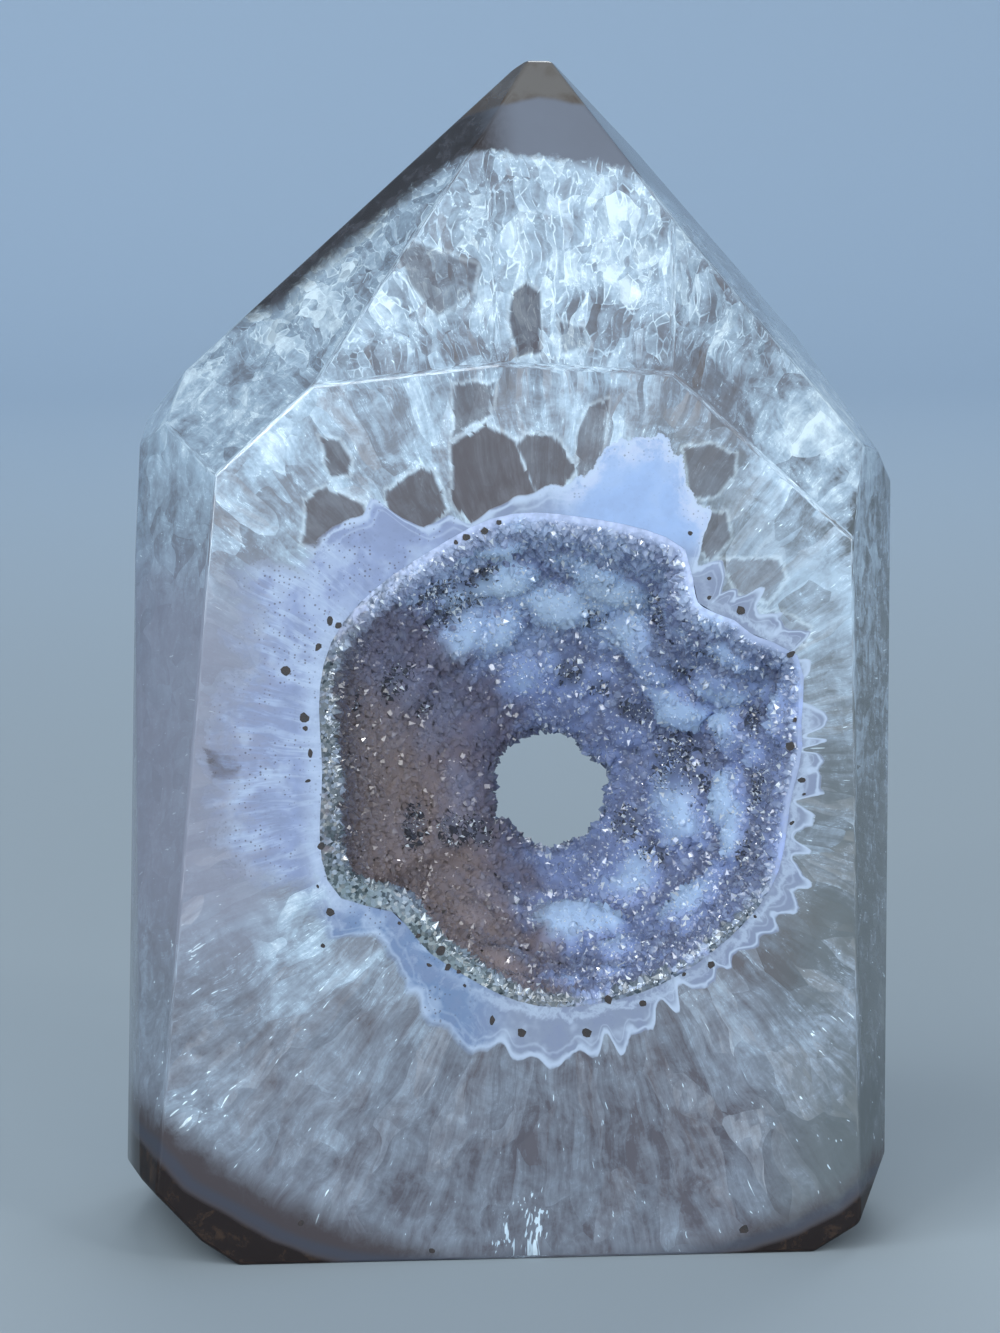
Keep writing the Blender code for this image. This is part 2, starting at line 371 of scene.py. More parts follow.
def stone_places(f):
    """A notebook with the place in mm, its direction from the hollow, and its place in patterns."""
    here = SimpleNamespace(place=f.in_mm(), facet=f.facing())
    here.x, here.y, here.z = f.parts(here.place)
    here.facet_x, here.facet_y, _ = f.parts(here.facet)
    here.turn, here.far, here.direction, here.back = around_hollow(f, here.place)
    here.sway = f.evened(f.noise(here.place, SWAY_SCALE, 1.0, output="Color"))
    here.inner = f.moved(here.place, here.facet, FACET_SHIFT)
    here.inner = f.moved(here.inner, here.sway, INNER_SWAY)
    sideways = f.step(f.unsigned(here.facet_x), 0.5, 0.9, 0.09, 0.22)
    depth = f.times(f.parts(here.inner)[1], sideways)
    fan = f.joined(0.0, f.plus(depth, here.far, FAN_STRETCH), 0.0)
    fan = f.moved(fan, here.direction, FAN_RAYS)
    fan = f.moved(fan, here.facet, FACET_SHIFT)
    here.fan = f.moved(fan, here.sway, FAN_SWAY)
    return here


# %% Zones of the stone: each pair says where a zone starts and where it is full, in mm
TOP_UP, LOW_UP, FOOT_UP = (73.0, 82.0), (30.0, 10.0), (34.0, 20.0)
HAZE_ACROSS, HAZE_TOP, HAZE_FOOT = (-18.0, -25.0), (63.0, 53.0), (20.0, 34.0)
RIGHT_ACROSS, RIGHT_TOP = (17.0, 27.0), (74.0, 62.0)
GLASSY_ACROSS, GLASSY_FAR, GLASSY_FOOT = (8.0, 12.0), (33.0, 26.0), (26.0, 34.0)


def stone_zones(f, here):
    """Shares of the top, the foot, the haze on the left and the clear quartz on the right."""
    x, z, far = here.x, here.z, here.far
    here.cloud = f.noise(here.inner, 0.13, 3.0, 0.6)
    here.top = f.step(f.plus(z, here.cloud, 6.0), *TOP_UP)
    here.low = f.step(f.plus(z, here.cloud, -8.0), *LOW_UP)
    here.foot = f.step(z, *FOOT_UP)
    here.haze = f.times(f.step(x, *HAZE_ACROSS), f.step(z, *HAZE_TOP), f.step(z, *HAZE_FOOT))
    glassy = (f.step(x, *GLASSY_ACROSS), f.step(far, *GLASSY_FAR), f.step(z, *GLASSY_FOOT))
    here.glassy = f.times(*glassy)
    right = f.times(f.step(x, *RIGHT_ACROSS), f.step(z, *RIGHT_TOP))
    here.right = f.larger(right, f.times(here.glassy, 0.8))
    here.on_side = f.step(f.unsigned(here.facet_x), 0.6, 0.85)


# %% [markdown]
# ## Cracks and flakes inside the quartz
#
# The parts that make quartz look like quartz are the cracks inside it: columns that grew side by
# side, flat flakes in them that catch the light, thin bright seams round the flakes, and soft
# clouds. Two cell patterns give the columns and the flakes, and each cell has its own tone. Later
# each flake also gets its own shading direction under a clear, flat coat, because that is how
# cracks lie under a polished face.

# %% Columns, flakes and cracks
COLUMN_SCALE, COLUMN_SHAPE = 0.50, (1.0, 2.0, 1.0)
FLAKE_SCALE, FLAKE_SHAPE, FLAKE_SWAY = 1.9, (1.0, 0.75, 1.0), (0.3, 0.8, 0.3)


def flakes_and_cracks(f, here):
    """The tones of columns and flakes, two soft patterns, and the cracks."""
    column_place = f.vector("MULTIPLY", here.fan, COLUMN_SHAPE)
    column = f.cells(column_place, COLUMN_SCALE)
    here.column_tone = column.outputs["Color"]
    here.lean = f.evened(here.column_tone)
    slant = f.vector("SUBTRACT", column.outputs["Position"], column_place)
    here.slant = f.vector("DOT_PRODUCT", slant, here.lean)
    flake_place = f.vector("MULTIPLY", here.fan, FLAKE_SHAPE)
    flake_place = f.moved(flake_place, here.sway, FLAKE_SWAY)
    column_shift = f.scaled(here.lean, f.plus(-16.0, here.far, 0.40))
    flake_place = f.vector("ADD", column_shift, flake_place)
    here.flake_tone = f.cells(flake_place, FLAKE_SCALE).outputs["Color"]
    here.flake_pick, here.flake_other, here.flake_third = f.parts(here.flake_tone)
    flake_edge = f.cells(flake_place, FLAKE_SCALE, "DISTANCE_TO_EDGE").outputs["Distance"]
    here.wisps = f.noise(here.inner, 0.62, 4.0, 0.70)
    here.fibre = f.noise(here.fan, 1.25, 3.0, 0.72)
    here.crack = f.times(f.stripe(here.fibre, 0.54, 0.012), f.step(here.wisps, 0.44, 0.60))
    here.fine_crack = f.times(f.step(flake_edge, 0.085, 0.0), f.step(here.wisps, 0.53, 0.41))


# %% [markdown]
# ## How white the quartz is
#
# One number says how white the quartz is, from clear and deep to white. The cracks and flakes
# swing it up and down, more at the top and less in the calm, clear parts. It grows with the
# height, and a few soft spots make the large clouds that the photograph shows; one of them is
# painted light that lightens the upper left slope. Where cracks sparkle, short strokes are
# painted all the way to white: painted glints.

# %% Light and dark clouds (one is painted light) and painted glints: across, up, radius in mm, amount
CLOUDS_AND_PAINTED_LIGHT = (
    (1.5, 85.4, 12.0, 0.07), (-25.5, 70.0, 10.0, 0.22), (24.0, 55.0, 10.0, 0.12),
    (-28.6, 14.9, 8.0, 0.15), (23.3, 18.1, 8.0, 0.18), (-20.4, 27.8, 8.0, 0.20),
    (13.5, 71.0, 7.0, -0.24), (19.5, 80.6, 6.0, -0.12), (21.5, 27.5, 9.0, -0.11),
    # Painted light: the spot at -17.5 across and 80.5 up lightens the upper left slope.
    (5.0, 10.0, 18.0, -0.14), (-17.5, 80.5, 7.0, 0.27), (24.8, 69.5, 9.0, 0.33),
)
PAINTED_GLINT_SPOTS = (
    (-29.0, 26.4, 1.6, 1.9), (-28.6, 13.8, 3.6, 1.55), (-0.4, 2.2, 4.2, 2.10),
    (25.9, 7.4, 2.0, 0.8), (24.1, 19.8, 3.0, 0.4), (0.0, 86.0, 11.0, 0.55),
    (8.7, 92.9, 1.8, 1.6), (17.3, 14.4, 2.4, 0.5), (-25.9, 69.0, 2.4, 0.9),
)


def soft_spots(finish, x, z, spots):
    """Sum of soft round spots, each given as across, up, radius and amount, three at a time."""
    across, up = finish.joined(x, x, x), finish.joined(z, z, z)
    total = None
    for first in range(0, len(spots), 3):
        by_x, by_z, radius, amount = np.array(spots[first : first + 3]).T
        dx = finish.vector("MULTIPLY_ADD", across, tuple(1 / radius), tuple(-by_x / radius))
        dz = finish.vector("MULTIPLY_ADD", up, tuple(1 / radius), tuple(-by_z / radius))
        far = finish.vector("MULTIPLY_ADD", dx, dx, finish.vector("MULTIPLY", dz, dz))
        near = finish.vector("SUBTRACT", (1.0, 1.0, 1.0), far)
        near = finish.vector("MAXIMUM", near, (0.0, 0.0, 0.0))
        near = finish.vector("DOT_PRODUCT", finish.vector("MULTIPLY", near, near), tuple(amount))
        total = near if total is None else finish.add(total, near)
    return total


print("soft spots:", len(CLOUDS_AND_PAINTED_LIGHT), "of cloud and", len(PAINTED_GLINT_SPOTS), "of glitter")

# %% The whiteness of the quartz
CLOUD_SWAY = 7.0


def quartz_whiteness(f, here):
    """How white the quartz is, from 0 to 1."""
    low, top = here.low, here.top
    whiteness = f.add(
        f.swing(here.cloud, f.between(low, 0.90, 0.60)),
        f.swing(f.parts(here.column_tone)[0], f.between(low, 0.20, 0.10)),
        f.times(here.slant, f.between(low, 0.18, 0.08)),
        f.swing(here.flake_pick, f.between(top, 0.05, 0.29)),
        f.swing(here.fibre, f.between(low, 0.62, 0.60)),
        f.swing(here.wisps, f.between(low, 0.90, 0.62)),
        f.times(here.crack, f.between(low, 0.34, 0.12)),
        f.times(here.fine_crack, f.between(top, 0.04, 0.42)),
    )
    calm_right = f.times(here.right, f.step(here.z, 56.0, 48.0, 0.2, 0.6))
    calm = f.larger(calm_right, f.times(here.on_side, 0.6))
    calm = f.larger(calm, f.times(here.glassy, 0.8))
    calm = f.between(f.larger(here.haze, calm), 1.0, 0.35)
    sway_x, _, sway_z = f.parts(here.sway)
    across, up = f.plus(here.x, sway_x, CLOUD_SWAY), f.plus(here.z, sway_z, CLOUD_SWAY)
    whiteness = f.add(
        f.times(whiteness, calm),
        f.step(here.z, 6.0, 40.0, 0.24, 0.36, smooth=False),
        f.step(here.z, 40.0, 84.0, 0.0, 0.16, smooth=False),
        soft_spots(f, across, up, CLOUDS_AND_PAINTED_LIGHT),
    )
    # Painted glints: short white strokes in the colour, where cracks would mirror a lamp.
    painted_glints = f.times(soft_spots(f, across, up, PAINTED_GLINT_SPOTS), 0.36)
    painted_glints = f.plus(painted_glints, here.flake_third, 0.25)
    painted_glints = f.plus(painted_glints, f.swing(f.noise(here.fan, 5.0, 1.0)), 2.4)
    painted_glints = f.plus(painted_glints, f.swing(here.fibre), 1.4)
    painted_glints = f.step(painted_glints, 0.92, 1.02)
    return f.plus(whiteness, painted_glints, 0.5, clamp=True)


# %% Colours of the quartz, from its whiteness
WHITE_QUARTZ = (0.74, 0.89, 0.98)
LIGHT_QUARTZ = (0.37, 0.49, 0.61)
GREY_QUARTZ = (0.180, 0.210, 0.260)
DEEP_QUARTZ = (0.125, 0.120, 0.130)
VIOLET_DARK = (0.070, 0.068, 0.090)
VIOLET_GREY = (0.225, 0.275, 0.345)
GREEN_GREY = (0.135, 0.165, 0.175)
LAVENDER_HAZE = (0.215, 0.226, 0.298)


def quartz_colour(f, here, whiteness):
    """Grey to white, more violet at the foot, greenish on the right, lavender in the haze."""
    violet = f.blend(f.step(whiteness, 0.02, 0.50, smooth=False), VIOLET_DARK, VIOLET_GREY)
    here.dim = f.step(whiteness, 0.55, 0.25, 0.0, 0.75)
    return f.layered(DEEP_QUARTZ, (
        (f.step(whiteness, 0.0, 0.33, smooth=False), GREY_QUARTZ),
        (f.step(whiteness, 0.33, 0.66, smooth=False), LIGHT_QUARTZ),
        (f.step(whiteness, 0.66, 1.0, smooth=False), WHITE_QUARTZ),
        (f.times(here.low, f.step(whiteness, 0.70, 0.40, 0.0, 0.85)), violet),
        (f.times(here.right, here.dim), GREEN_GREY),
        (f.times(here.haze, 0.7), LAVENDER_HAZE),
    ))


# %% [markdown]
# ## Windows of clear smoky quartz
#
# Just outside the milky band some of the crystals are clear, and the eye looks through their
# flat ends into the dark of the stone. Each one is drawn as a polygon with straight sides in the
# front face. A point is inside when it lies on the inner side of every edge, so the largest of
# the distances to the edges says how far outside it is.

# %% Polygons of the clear crystals: how smoky, then corners in mm across and up the front face
WINDOWS = (
    (0.95, ((-6.7, 64.0), (-6.7, 68.7), (-4.1, 70.3), (-1.8, 68.9), (0.0, 64.4), (-4.6, 61.8))),
    (0.85, ((-1.4, 68.6), (-0.8, 69.4), (1.4, 69.4), (3.3, 66.7), (2.0, 64.7), (0.3, 64.4))),
    (0.60, ((3.7, 69.3), (4.7, 71.8), (5.9, 72.1), (5.6, 69.0), (5.0, 65.8), (3.8, 66.0))),
    (0.60, ((12.7, 68.1), (14.6, 68.5), (16.5, 67.6), (16.5, 66.1), (15.3, 64.6), (13.1, 64.3))),
    (0.60, ((14.3, 62.9), (15.8, 62.7), (16.1, 60.8), (14.6, 59.2), (13.8, 60.1))),
    (0.40, ((15.9, 58.8), (20.4, 58.8), (20.8, 57.4), (19.5, 55.6), (17.2, 56.3))),
    (0.85, ((-12.2, 64.9), (-9.5, 66.9), (-8.6, 66.4), (-7.5, 63.5), (-9.1, 61.9), (-12.0, 62.6))),
    (0.85, (
        (-19.2, 60.9), (-18.9, 64.3), (-17.4, 65.2), (-14.4, 63.8), (-14.1, 62.6), (-17.8, 60.2),
    )),
    (0.75, ((-17.5, 69.2), (-16.4, 69.1), (-15.5, 67.6), (-15.7, 66.5), (-16.9, 66.3))),
    (0.65, ((-6.6, 73.7), (-3.6, 73.7), (-3.9, 71.4), (-6.6, 69.9))),
    (0.35, ((19.3, 54.4), (21.0, 54.2), (22.8, 53.0), (22.5, 52.0), (20.1, 52.7))),
    (0.85, ((-27.3, 43.4), (-24.7, 42.8), (-23.2, 41.8), (-23.8, 40.8), (-26.8, 41.4))),
    (0.45, ((-9.6, 85.1), (-4.4, 83.2), (-4.8, 81.4), (-7.0, 79.8), (-8.0, 80.6), (-10.0, 82.8))),
    (0.60, ((-10.7, 84.3), (-8.8, 84.8), (-7.8, 82.1), (-7.0, 79.8), (-7.8, 79.4), (-9.7, 81.7))),
    (0.75, ((-1.3, 80.8), (0.0, 81.7), (0.7, 81.0), (0.4, 76.5), (-1.3, 76.1), (-1.8, 78.8))),
    (0.40, ((2.5, 78.5), (4.1, 78.1), (4.5, 76.9), (2.5, 76.5))),
)


def outside_polygon(finish, across, up, corners):
    """How far outside a convex polygon of the front face a place is, in mm; below 0 is inside.
    Three edges are worked out at once, one in each part of a vector."""
    middle = np.mean(corners, axis=0)
    edges = []
    for start, end in zip(corners, corners[1:] + corners[:1]):
        edge = np.subtract(end, start)
        outward = np.array((edge[1], -edge[0])) / np.linalg.norm(edge)
        outward *= -np.sign(np.dot(outward, np.subtract(middle, start)))
        edges.append((*outward, -np.dot(outward, start)))
    edges += edges[-1:] * (6 - len(edges))
    worst = None
    for three in (edges[:3], edges[3:]):
        by_x, by_z, offset = (tuple(map(float, part)) for part in zip(*three))
        far = finish.vector("MULTIPLY_ADD", across, by_x, offset)
        far = finish.vector("MULTIPLY_ADD", up, by_z, far)
        worst = far if worst is None else finish.vector("MAXIMUM", worst, far)
    a, b, c = finish.parts(worst)
    return finish.math("MAXIMUM", finish.math("MAXIMUM", a, b), c)


def outside_windows(finish, x, z, waver):
    """Distance in mm outside the nearest window, and how smoky the stone is there."""
    across, up = finish.joined(x, x, x), finish.joined(z, z, z)
    nearest, smoky = None, None
    for smokiness, corners in WINDOWS:
        far = finish.add(outside_polygon(finish, across, up, corners), waver)
        here = finish.step(far, 0.12, -0.25, 0.0, smokiness)
        nearest = far if nearest is None else finish.math("MINIMUM", nearest, far)
        smoky = here if smoky is None else finish.larger(smoky, here)
    return nearest, smoky


print("clear windows:", len(WINDOWS))

# %% The windows in the quartz, with a thin light rim round each
SMOKE = (0.084, 0.072, 0.084)
SMOKE_STREAK = (0.178, 0.176, 0.208)


def with_windows(f, here, quartz):
    front = f.step(here.facet_y, -0.60, -0.70)
    waver = f.plus(-0.32, here.flake_other, 0.28)
    window_far, smoky = outside_windows(f, here.x, here.z, waver)
    here.window = f.times(smoky, front)
    streak = f.step(f.plus(here.fibre, f.swing(here.cloud), 1.2), 0.36, 0.80, 0.0, 0.38)
    smoke = f.blend(streak, SMOKE, SMOKE_STREAK)
    rim = f.times(f.stripe(window_far, 0.15, 0.30), front, f.minus(1.0, here.haze))
    quartz = f.blend(f.times(rim, 0.42, here.wisps), quartz, WHITE_QUARTZ)
    return f.blend(here.window, quartz, smoke)


# %% [markdown]
# ## Grey and brown bands
#
# The last layers of the stone lie furthest from the hollow, so they show where the tower is
# longest: at the tip and at the feet. A grey band comes first and then the brown rind, with a
# thin pale line between them at the feet. Their edges are drawn by direction and made ragged by
# the soft patterns of the quartz.

# %% Edges of the outer bands: direction in degrees, distance in mm
GREY_EDGE = (
    (0, 66), (56, 66), (62, 46.6), (68, 46.9), (74, 48.9), (79, 50.4), (84, 51.6), (88, 51.9),
    (92, 52.6), (98, 53.0), (105, 50.4), (108, 49.0), (114, 47.3), (120, 45.8), (127, 48.5),
    (134, 66), (204, 66), (211, 46.5), (215, 43.6), (220, 42.6), (227, 41.9), (233, 41.5),
    (238, 41.2), (250, 40.6), (270, 40.0), (285, 41.0), (293, 40.9), (298, 41.6), (304, 42.0),
    (309, 41.4), (316, 42.0), (323, 47.0), (330, 66), (360, 66),
)
BROWN_EDGE = (
    (0, 66), (74, 66), (82, 58.0), (88, 57.5), (91, 58.3), (95, 57.6), (101, 57.4), (109, 66),
    (205, 66), (215, 47.5), (222, 46.6), (228, 46.9), (233, 46.2), (238, 46.1), (243, 45.8),
    (247, 45.2), (258, 43.0), (270, 41.3), (282, 42.6), (287, 43.6), (292, 44.2), (297, 44.7),
    (302, 45.0), (307, 44.6), (313, 46.0), (322, 66), (360, 66),
)
print("edge points:", len(GREY_EDGE), "grey and", len(BROWN_EDGE), "brown")

# %% The outer bands
GREY_BAND = (0.135, 0.150, 0.185)
LIGHT_BAND = (0.16, 0.185, 0.235)
STRIP_BROWN = (0.026, 0.020, 0.018)
STRIP_GREY = (0.058, 0.055, 0.062)
FOOT_SMOKE = (0.050, 0.043, 0.049)
PALE_BAND = (0.042, 0.047, 0.066)
FOOT_BROWN = (0.009, 0.005, 0.005)
FOOT_RUST = (0.034, 0.020, 0.013)
TIP_GREY = (0.135, 0.130, 0.126)
TIP_BROWN = (0.072, 0.055, 0.043)


def with_outer_bands(f, here, colour):
    wisps, foot = here.wisps, here.foot
    wander = f.swing(here.cloud, 2.4)
    grey_far = f.add(f.minus(here.far, round_curve(f, here.turn, GREY_EDGE)), wander)
    brown_far = f.plus(f.minus(here.far, round_curve(f, here.turn, BROWN_EDGE)), wander, 0.35)
    ragged = f.plus(grey_far, f.swing(wisps), 3.0)
    softness = f.larger(f.step(here.x, -3.0, -14.0, 0.9, 2.2), f.times(foot, 3.0))
    here.grey = f.step(ragged, 0.0, softness)
    here.brown = f.step(brown_far, -0.15, 0.35)
    here.slope = f.step(here.x, 0.5, -4.0)
    strip = f.blend(f.step(wisps, 0.42, 0.66), STRIP_BROWN, STRIP_GREY)
    pale = f.stripe(brown_far, -0.65, 0.85, 0.1)
    band = f.layered(f.blend(here.cloud, GREY_BAND, LIGHT_BAND), (
        (here.slope, strip), (foot, FOOT_SMOKE), (f.times(pale, foot), PALE_BAND),
    ))
    tipped = f.add(f.plus(here.cloud, wisps, 0.5), f.times(here.facet_x, -0.35))
    rind = f.blend(f.step(tipped, 0.62, 0.98), TIP_GREY, TIP_BROWN)
    rind = f.blend(foot, rind, f.blend(f.step(wisps, 0.48, 0.68), FOOT_BROWN, FOOT_RUST))
    return f.layered(colour, ((here.grey, band), (here.brown, rind)))


# %% [markdown]
# ## The milky band
#
# Round the hollow lies milky chalcedony. Its outer edge has saw teeth, because it grew on the
# ends of the first crystals, and pale lines follow both of its edges like rings in wood. It is
# bright blue above on the right, dull lavender on the left, where it fades into haze, and deeper
# blue below on the left. Small dark freckles lie in it. Its edge is drawn by direction like the
# others, and the teeth are a triangle wave of the direction whose pace and size vary.

# %% Edges of the milky band: direction in degrees, distance in mm
MILK_EDGE = (
    (4, 21.6), (11, 22.8), (17, 21.4), (25, 22.3), (28, 23.6), (34, 21.9), (40, 22.2), (47, 20.4),
    (52, 22.1), (56, 21.2), (58, 22.4), (59, 24.7), (62, 25.6), (66, 25.9), (68, 28.2), (72, 29.0),
    (76, 28.8), (81, 27.6), (85, 24.6), (90, 23.9), (98, 23.2), (105, 22.5), (110, 22.0),
    (113, 23.3), (119, 23.3), (122, 25.2), (124, 27.8), (127, 27.1), (133, 27.9), (142, 27.8),
    (145, 30.2), (148, 31.4), (151, 29.0), (157, 28.7), (161, 27.4), (167, 28.3), (174, 28.0),
    (183, 28.2), (190, 28.1), (195, 27.7), (201, 25.6), (203, 23.6), (207, 22.8), (216, 23.8),
    (218, 22.0), (221, 20.9), (226, 20.7), (231, 21.2), (235, 22.2), (239, 22.6), (243, 24.0),
    (247, 23.4), (253, 25.2), (257, 23.6), (261, 24.4),
    (266, 24.9), (272, 24.7), (280, 23.5), (284, 24.4), (290, 22.6), (294, 22.0), (303, 22.1),
    (313, 22.0), (322, 22.8), (333, 23.3), (336, 22.3), (344, 21.2), (352, 21.2), (358, 22.6),
)
INNER_EDGE = tuple((turn, float(MILLIMETRES * rim_distance(turn))) for turn in range(0, 360, 6))
print("edge points:", len(MILK_EDGE), "outside and", len(INNER_EDGE), "inside")

# %% Where the milk is
TEETH, TOOTH_DRIFT = 110.0, 5.5
BLURRED_EDGE, BLUE_EDGE, SHARP_EDGE = 3.6, 0.7, 0.14


def milk_places(f, here):
    """How milky a place is, how far it lies outside the edge, and the parts of the band."""
    x, z, wisps = here.x, here.z, here.wisps
    here.bright = f.times(f.step(x, -2.0, 6.0), f.step(z, 57.0, 62.0))
    here.blurred = f.times(f.step(x, -12.0, -20.0), f.step(z, 64.0, 56.0), f.step(z, 26.0, 34.0))
    here.pale_blue = f.times(f.step(x, -1.0, -7.0), f.step(z, 33.0, 28.0))
    here.milk_cloud = f.noise(here.place, 0.36, 3.0, 0.55)
    saw = f.plus(f.times(f.noise(here.direction, 3.2, 1.0), TOOTH_DRIFT), here.turn, TEETH)
    saw = f.step(f.math("PINGPONG", saw, 1.0), 0.08, 0.92, -0.5, 0.5)
    tall, uneven = f.step(x, -8.0, 14.0, -0.35, -1.6), f.step(here.milk_cloud, 0.36, 0.62, 0.35, 1.3)
    jump = f.times(saw, tall, uneven, f.step(z, 56.0, 61.0, 1.0, 0.35))
    size = f.step(here.back, 0.0, 1.0, 1.0, 0.52, smooth=False)
    edge = f.times(round_curve(f, here.turn, MILK_EDGE, 2), size)
    here.inner_far = f.minus(here.far, round_curve(f, here.turn, INNER_EDGE))
    milk_far = f.minus(f.add(here.far, jump), edge)
    milk_far = f.plus(milk_far, f.times(here.bright, f.swing(wisps)), 2.6)
    here.milk_far = f.plus(milk_far, f.times(here.blurred, f.swing(wisps)), 9.0)
    soft = f.between(here.pale_blue, SHARP_EDGE, BLUE_EDGE)
    soft = f.between(here.blurred, soft, BLURRED_EDGE)
    milk = f.math("SUBTRACT", 0.5, f.math("DIVIDE", here.milk_far, soft), clamp=True)
    here.milk = f.times(milk, f.step(f.unsigned(here.y), 18.2, 18.45))


# %% Pale lines and dark freckles in the milk
def milk_lines(f, here):
    """One line at the outer edge, a finer one inside it, and one that wavers along the hollow."""
    broad = f.step(here.milk_cloud, 0.38, 0.62, 0.20, 0.75)
    line = f.stripe(here.milk_far, -0.28, broad)
    second = f.stripe(here.milk_far, -1.15, 0.22)
    inside = f.plus(f.add(here.inner_far, -0.6), f.swing(here.wisps), 3.5)
    inside = f.step(f.unsigned(inside), 0.55, 0.0)
    inside = f.times(inside, f.larger(f.step(here.x, 12.0, 18.0), f.step(here.z, 28.0, 22.0)))
    line = f.larger(line, f.times(f.larger(f.times(second, 0.6), inside), 0.7))
    fainter = f.between(here.blurred, 0.74, 0.10), f.between(here.pale_blue, 1.0, 0.55)
    left_lip = f.times(f.step(here.inner_far, 2.2, 0.4), f.step(here.x, -14.0, -17.0), here.wisps)
    return f.larger(f.times(line, *fainter), left_lip)


def milk_freckles(f, here, frost):
    """Small dots, most of them on the left and in the frost."""
    freckle = f.cells(f.joined(here.x, here.z, 0.0), 2.4, dimensions="2D")
    where = f.times(f.step(here.x, -3.0, -9.0), f.step(here.milk_cloud, 0.44, 0.54, 0.15, 0.9))
    where = f.larger(where, f.step(frost, 0.0, 0.8, 0.08, 0.6))
    radius = f.plus(-0.10, f.parts(freckle.outputs["Color"])[0], 0.36)
    return f.times(f.step(f.minus(radius, freckle.outputs["Distance"]), -0.02, 0.08), where)


# %% The colours of the milk
MILK = (0.265, 0.39, 0.64)
MILK_LAVENDER = (0.215, 0.275, 0.450)
MILK_SHADE = (0.186, 0.230, 0.328)
MILK_DARK = (0.165, 0.205, 0.325)
MILK_BLUE = (0.090, 0.170, 0.310)
MILK_LINE = (0.42, 0.52, 0.67)
FROST = (0.44, 0.51, 0.67)
SPECK = (0.05, 0.045, 0.06)


def with_milk(f, here, colour):
    x, wisps, fibre = here.x, here.wisps, here.fibre
    bright, cloudy = here.bright, here.milk_cloud
    duller = f.between(bright, 0.40, 0.15)
    frost_patches = f.step(wisps, 0.35, 0.60, 0.2, 0.9)
    frost = f.times(bright, f.step(here.milk_far, -3.0, -0.6), frost_patches)
    tones = f.blend(f.step(x, -1.0, -9.0), MILK_SHADE, MILK_LAVENDER)
    tones = f.layered(tones, (
        (bright, MILK),
        (f.times(f.step(wisps, 0.56, 0.36), f.between(bright, 0.45, 0.10)), MILK_DARK),
        (f.times(f.step(x, -20.0, -23.0), f.step(fibre, 0.44, 0.60), 0.55), LAVENDER_HAZE),
        (f.times(f.step(x, -12.0, -17.0), f.step(fibre, 0.52, 0.36), 0.40), MILK_LINE),
        (f.times(here.pale_blue, 0.75), MILK_BLUE),
        (f.times(here.pale_blue, f.step(wisps, 0.50, 0.66), 0.35), MILK_LINE),
        (f.times(f.step(cloudy, 0.54, 0.36), duller), MILK_DARK),
        (f.times(f.step(cloudy, 0.50, 0.68), duller), MILK_LINE),
        (frost, FROST),
        (milk_lines(f, here), MILK_LINE),
        (f.times(milk_freckles(f, here, frost), 0.75), SPECK),
    ))
    return f.blend(here.milk, colour, tones)


# %% [markdown]
# ## The polish
#
# All zones share one polished face: a clear coat that mirrors the lamps, over a softer shine
# whose direction is tilted for every flake and column. Clear windows and the right side let some
# light through. The outer bands and the lowest side faces are duller, as the rind takes a poorer
# polish, and the tall side faces are shaded as if they swelled a little.

# %% The surface of the stone, and the whole material
QUARTZ_IOR, COAT_IOR = 1.54, 1.5
FLAKE_TILT, COLUMN_TILT, SIDE_SWELL = (0.12, 0.55), 0.25, 0.045


def stone_surface(f, here, colour):
    plain = f.minus(1.0, f.larger(f.larger(here.milk, here.brown), here.grey))
    clear = f.larger(f.times(here.window, 0.22), f.times(here.right, here.dim, 0.35))
    still = f.times(plain, f.between(here.window, 1.0, 0.1))
    swell = f.joined(0.0, f.times(here.y, here.on_side, SIDE_SWELL), 0.0)
    flake_tilt = f.times(still, f.between(here.top, *FLAKE_TILT))
    normal = f.vector("ADD", here.facet, swell)
    normal = f.vector("ADD", normal, f.scaled(f.evened(here.flake_tone), flake_tilt))
    normal = f.vector("ADD", normal, f.scaled(here.lean, f.times(still, COLUMN_TILT)))
    dull_side = f.times(here.on_side, f.step(here.z, 18.0, 10.0, 0.6, 1.0))
    dull = f.larger(dull_side, f.times(here.foot, here.brown))
    dull = f.larger(dull, f.times(here.grey, here.slope, 0.85))
    f.set(f.shader, Base_Color=colour, Transmission_Weight=f.times(clear, plain))
    f.set(f.shader, Normal=f.vector("NORMALIZE", normal), IOR=QUARTZ_IOR, Metallic=0.0)
    f.set(f.shader, Roughness=f.between(here.milk, 0.26, 0.45), Specular_IOR_Level=0.25)
    f.set(f.shader, Coat_Weight=f.between(dull, 1.0, 0.2), Coat_Roughness=0.03, Coat_IOR=COAT_IOR)


def stone_finish():
    f = Finish("polished_agate")
    here = stone_places(f)
    stone_zones(f, here)
    flakes_and_cracks(f, here)
    colour = quartz_colour(f, here, quartz_whiteness(f, here))
    colour = with_windows(f, here, colour)
    colour = with_outer_bands(f, here, colour)
    milk_places(f, here)
    stone_surface(f, here, with_milk(f, here, colour))
    return f.material


polished_agate = stone_finish()
print("stone material has", len(polished_agate.node_tree.nodes), "nodes")

# %% [markdown]
# ## The stone's mesh
#
# The solid's mesh is loose triangles. A copy is merged into whole faces, its softly polished
# edges are shaded smooth and its large faces flat, so that light slides round each edge as it
# does on a ground and polished stone.

# %% Helpers that work on one piece
def only(piece):
    """Selects this piece alone and makes it the active one."""
    bpy.ops.object.select_all(action="DESELECT")
    piece.select_set(True)
    bpy.context.view_layer.objects.active = piece


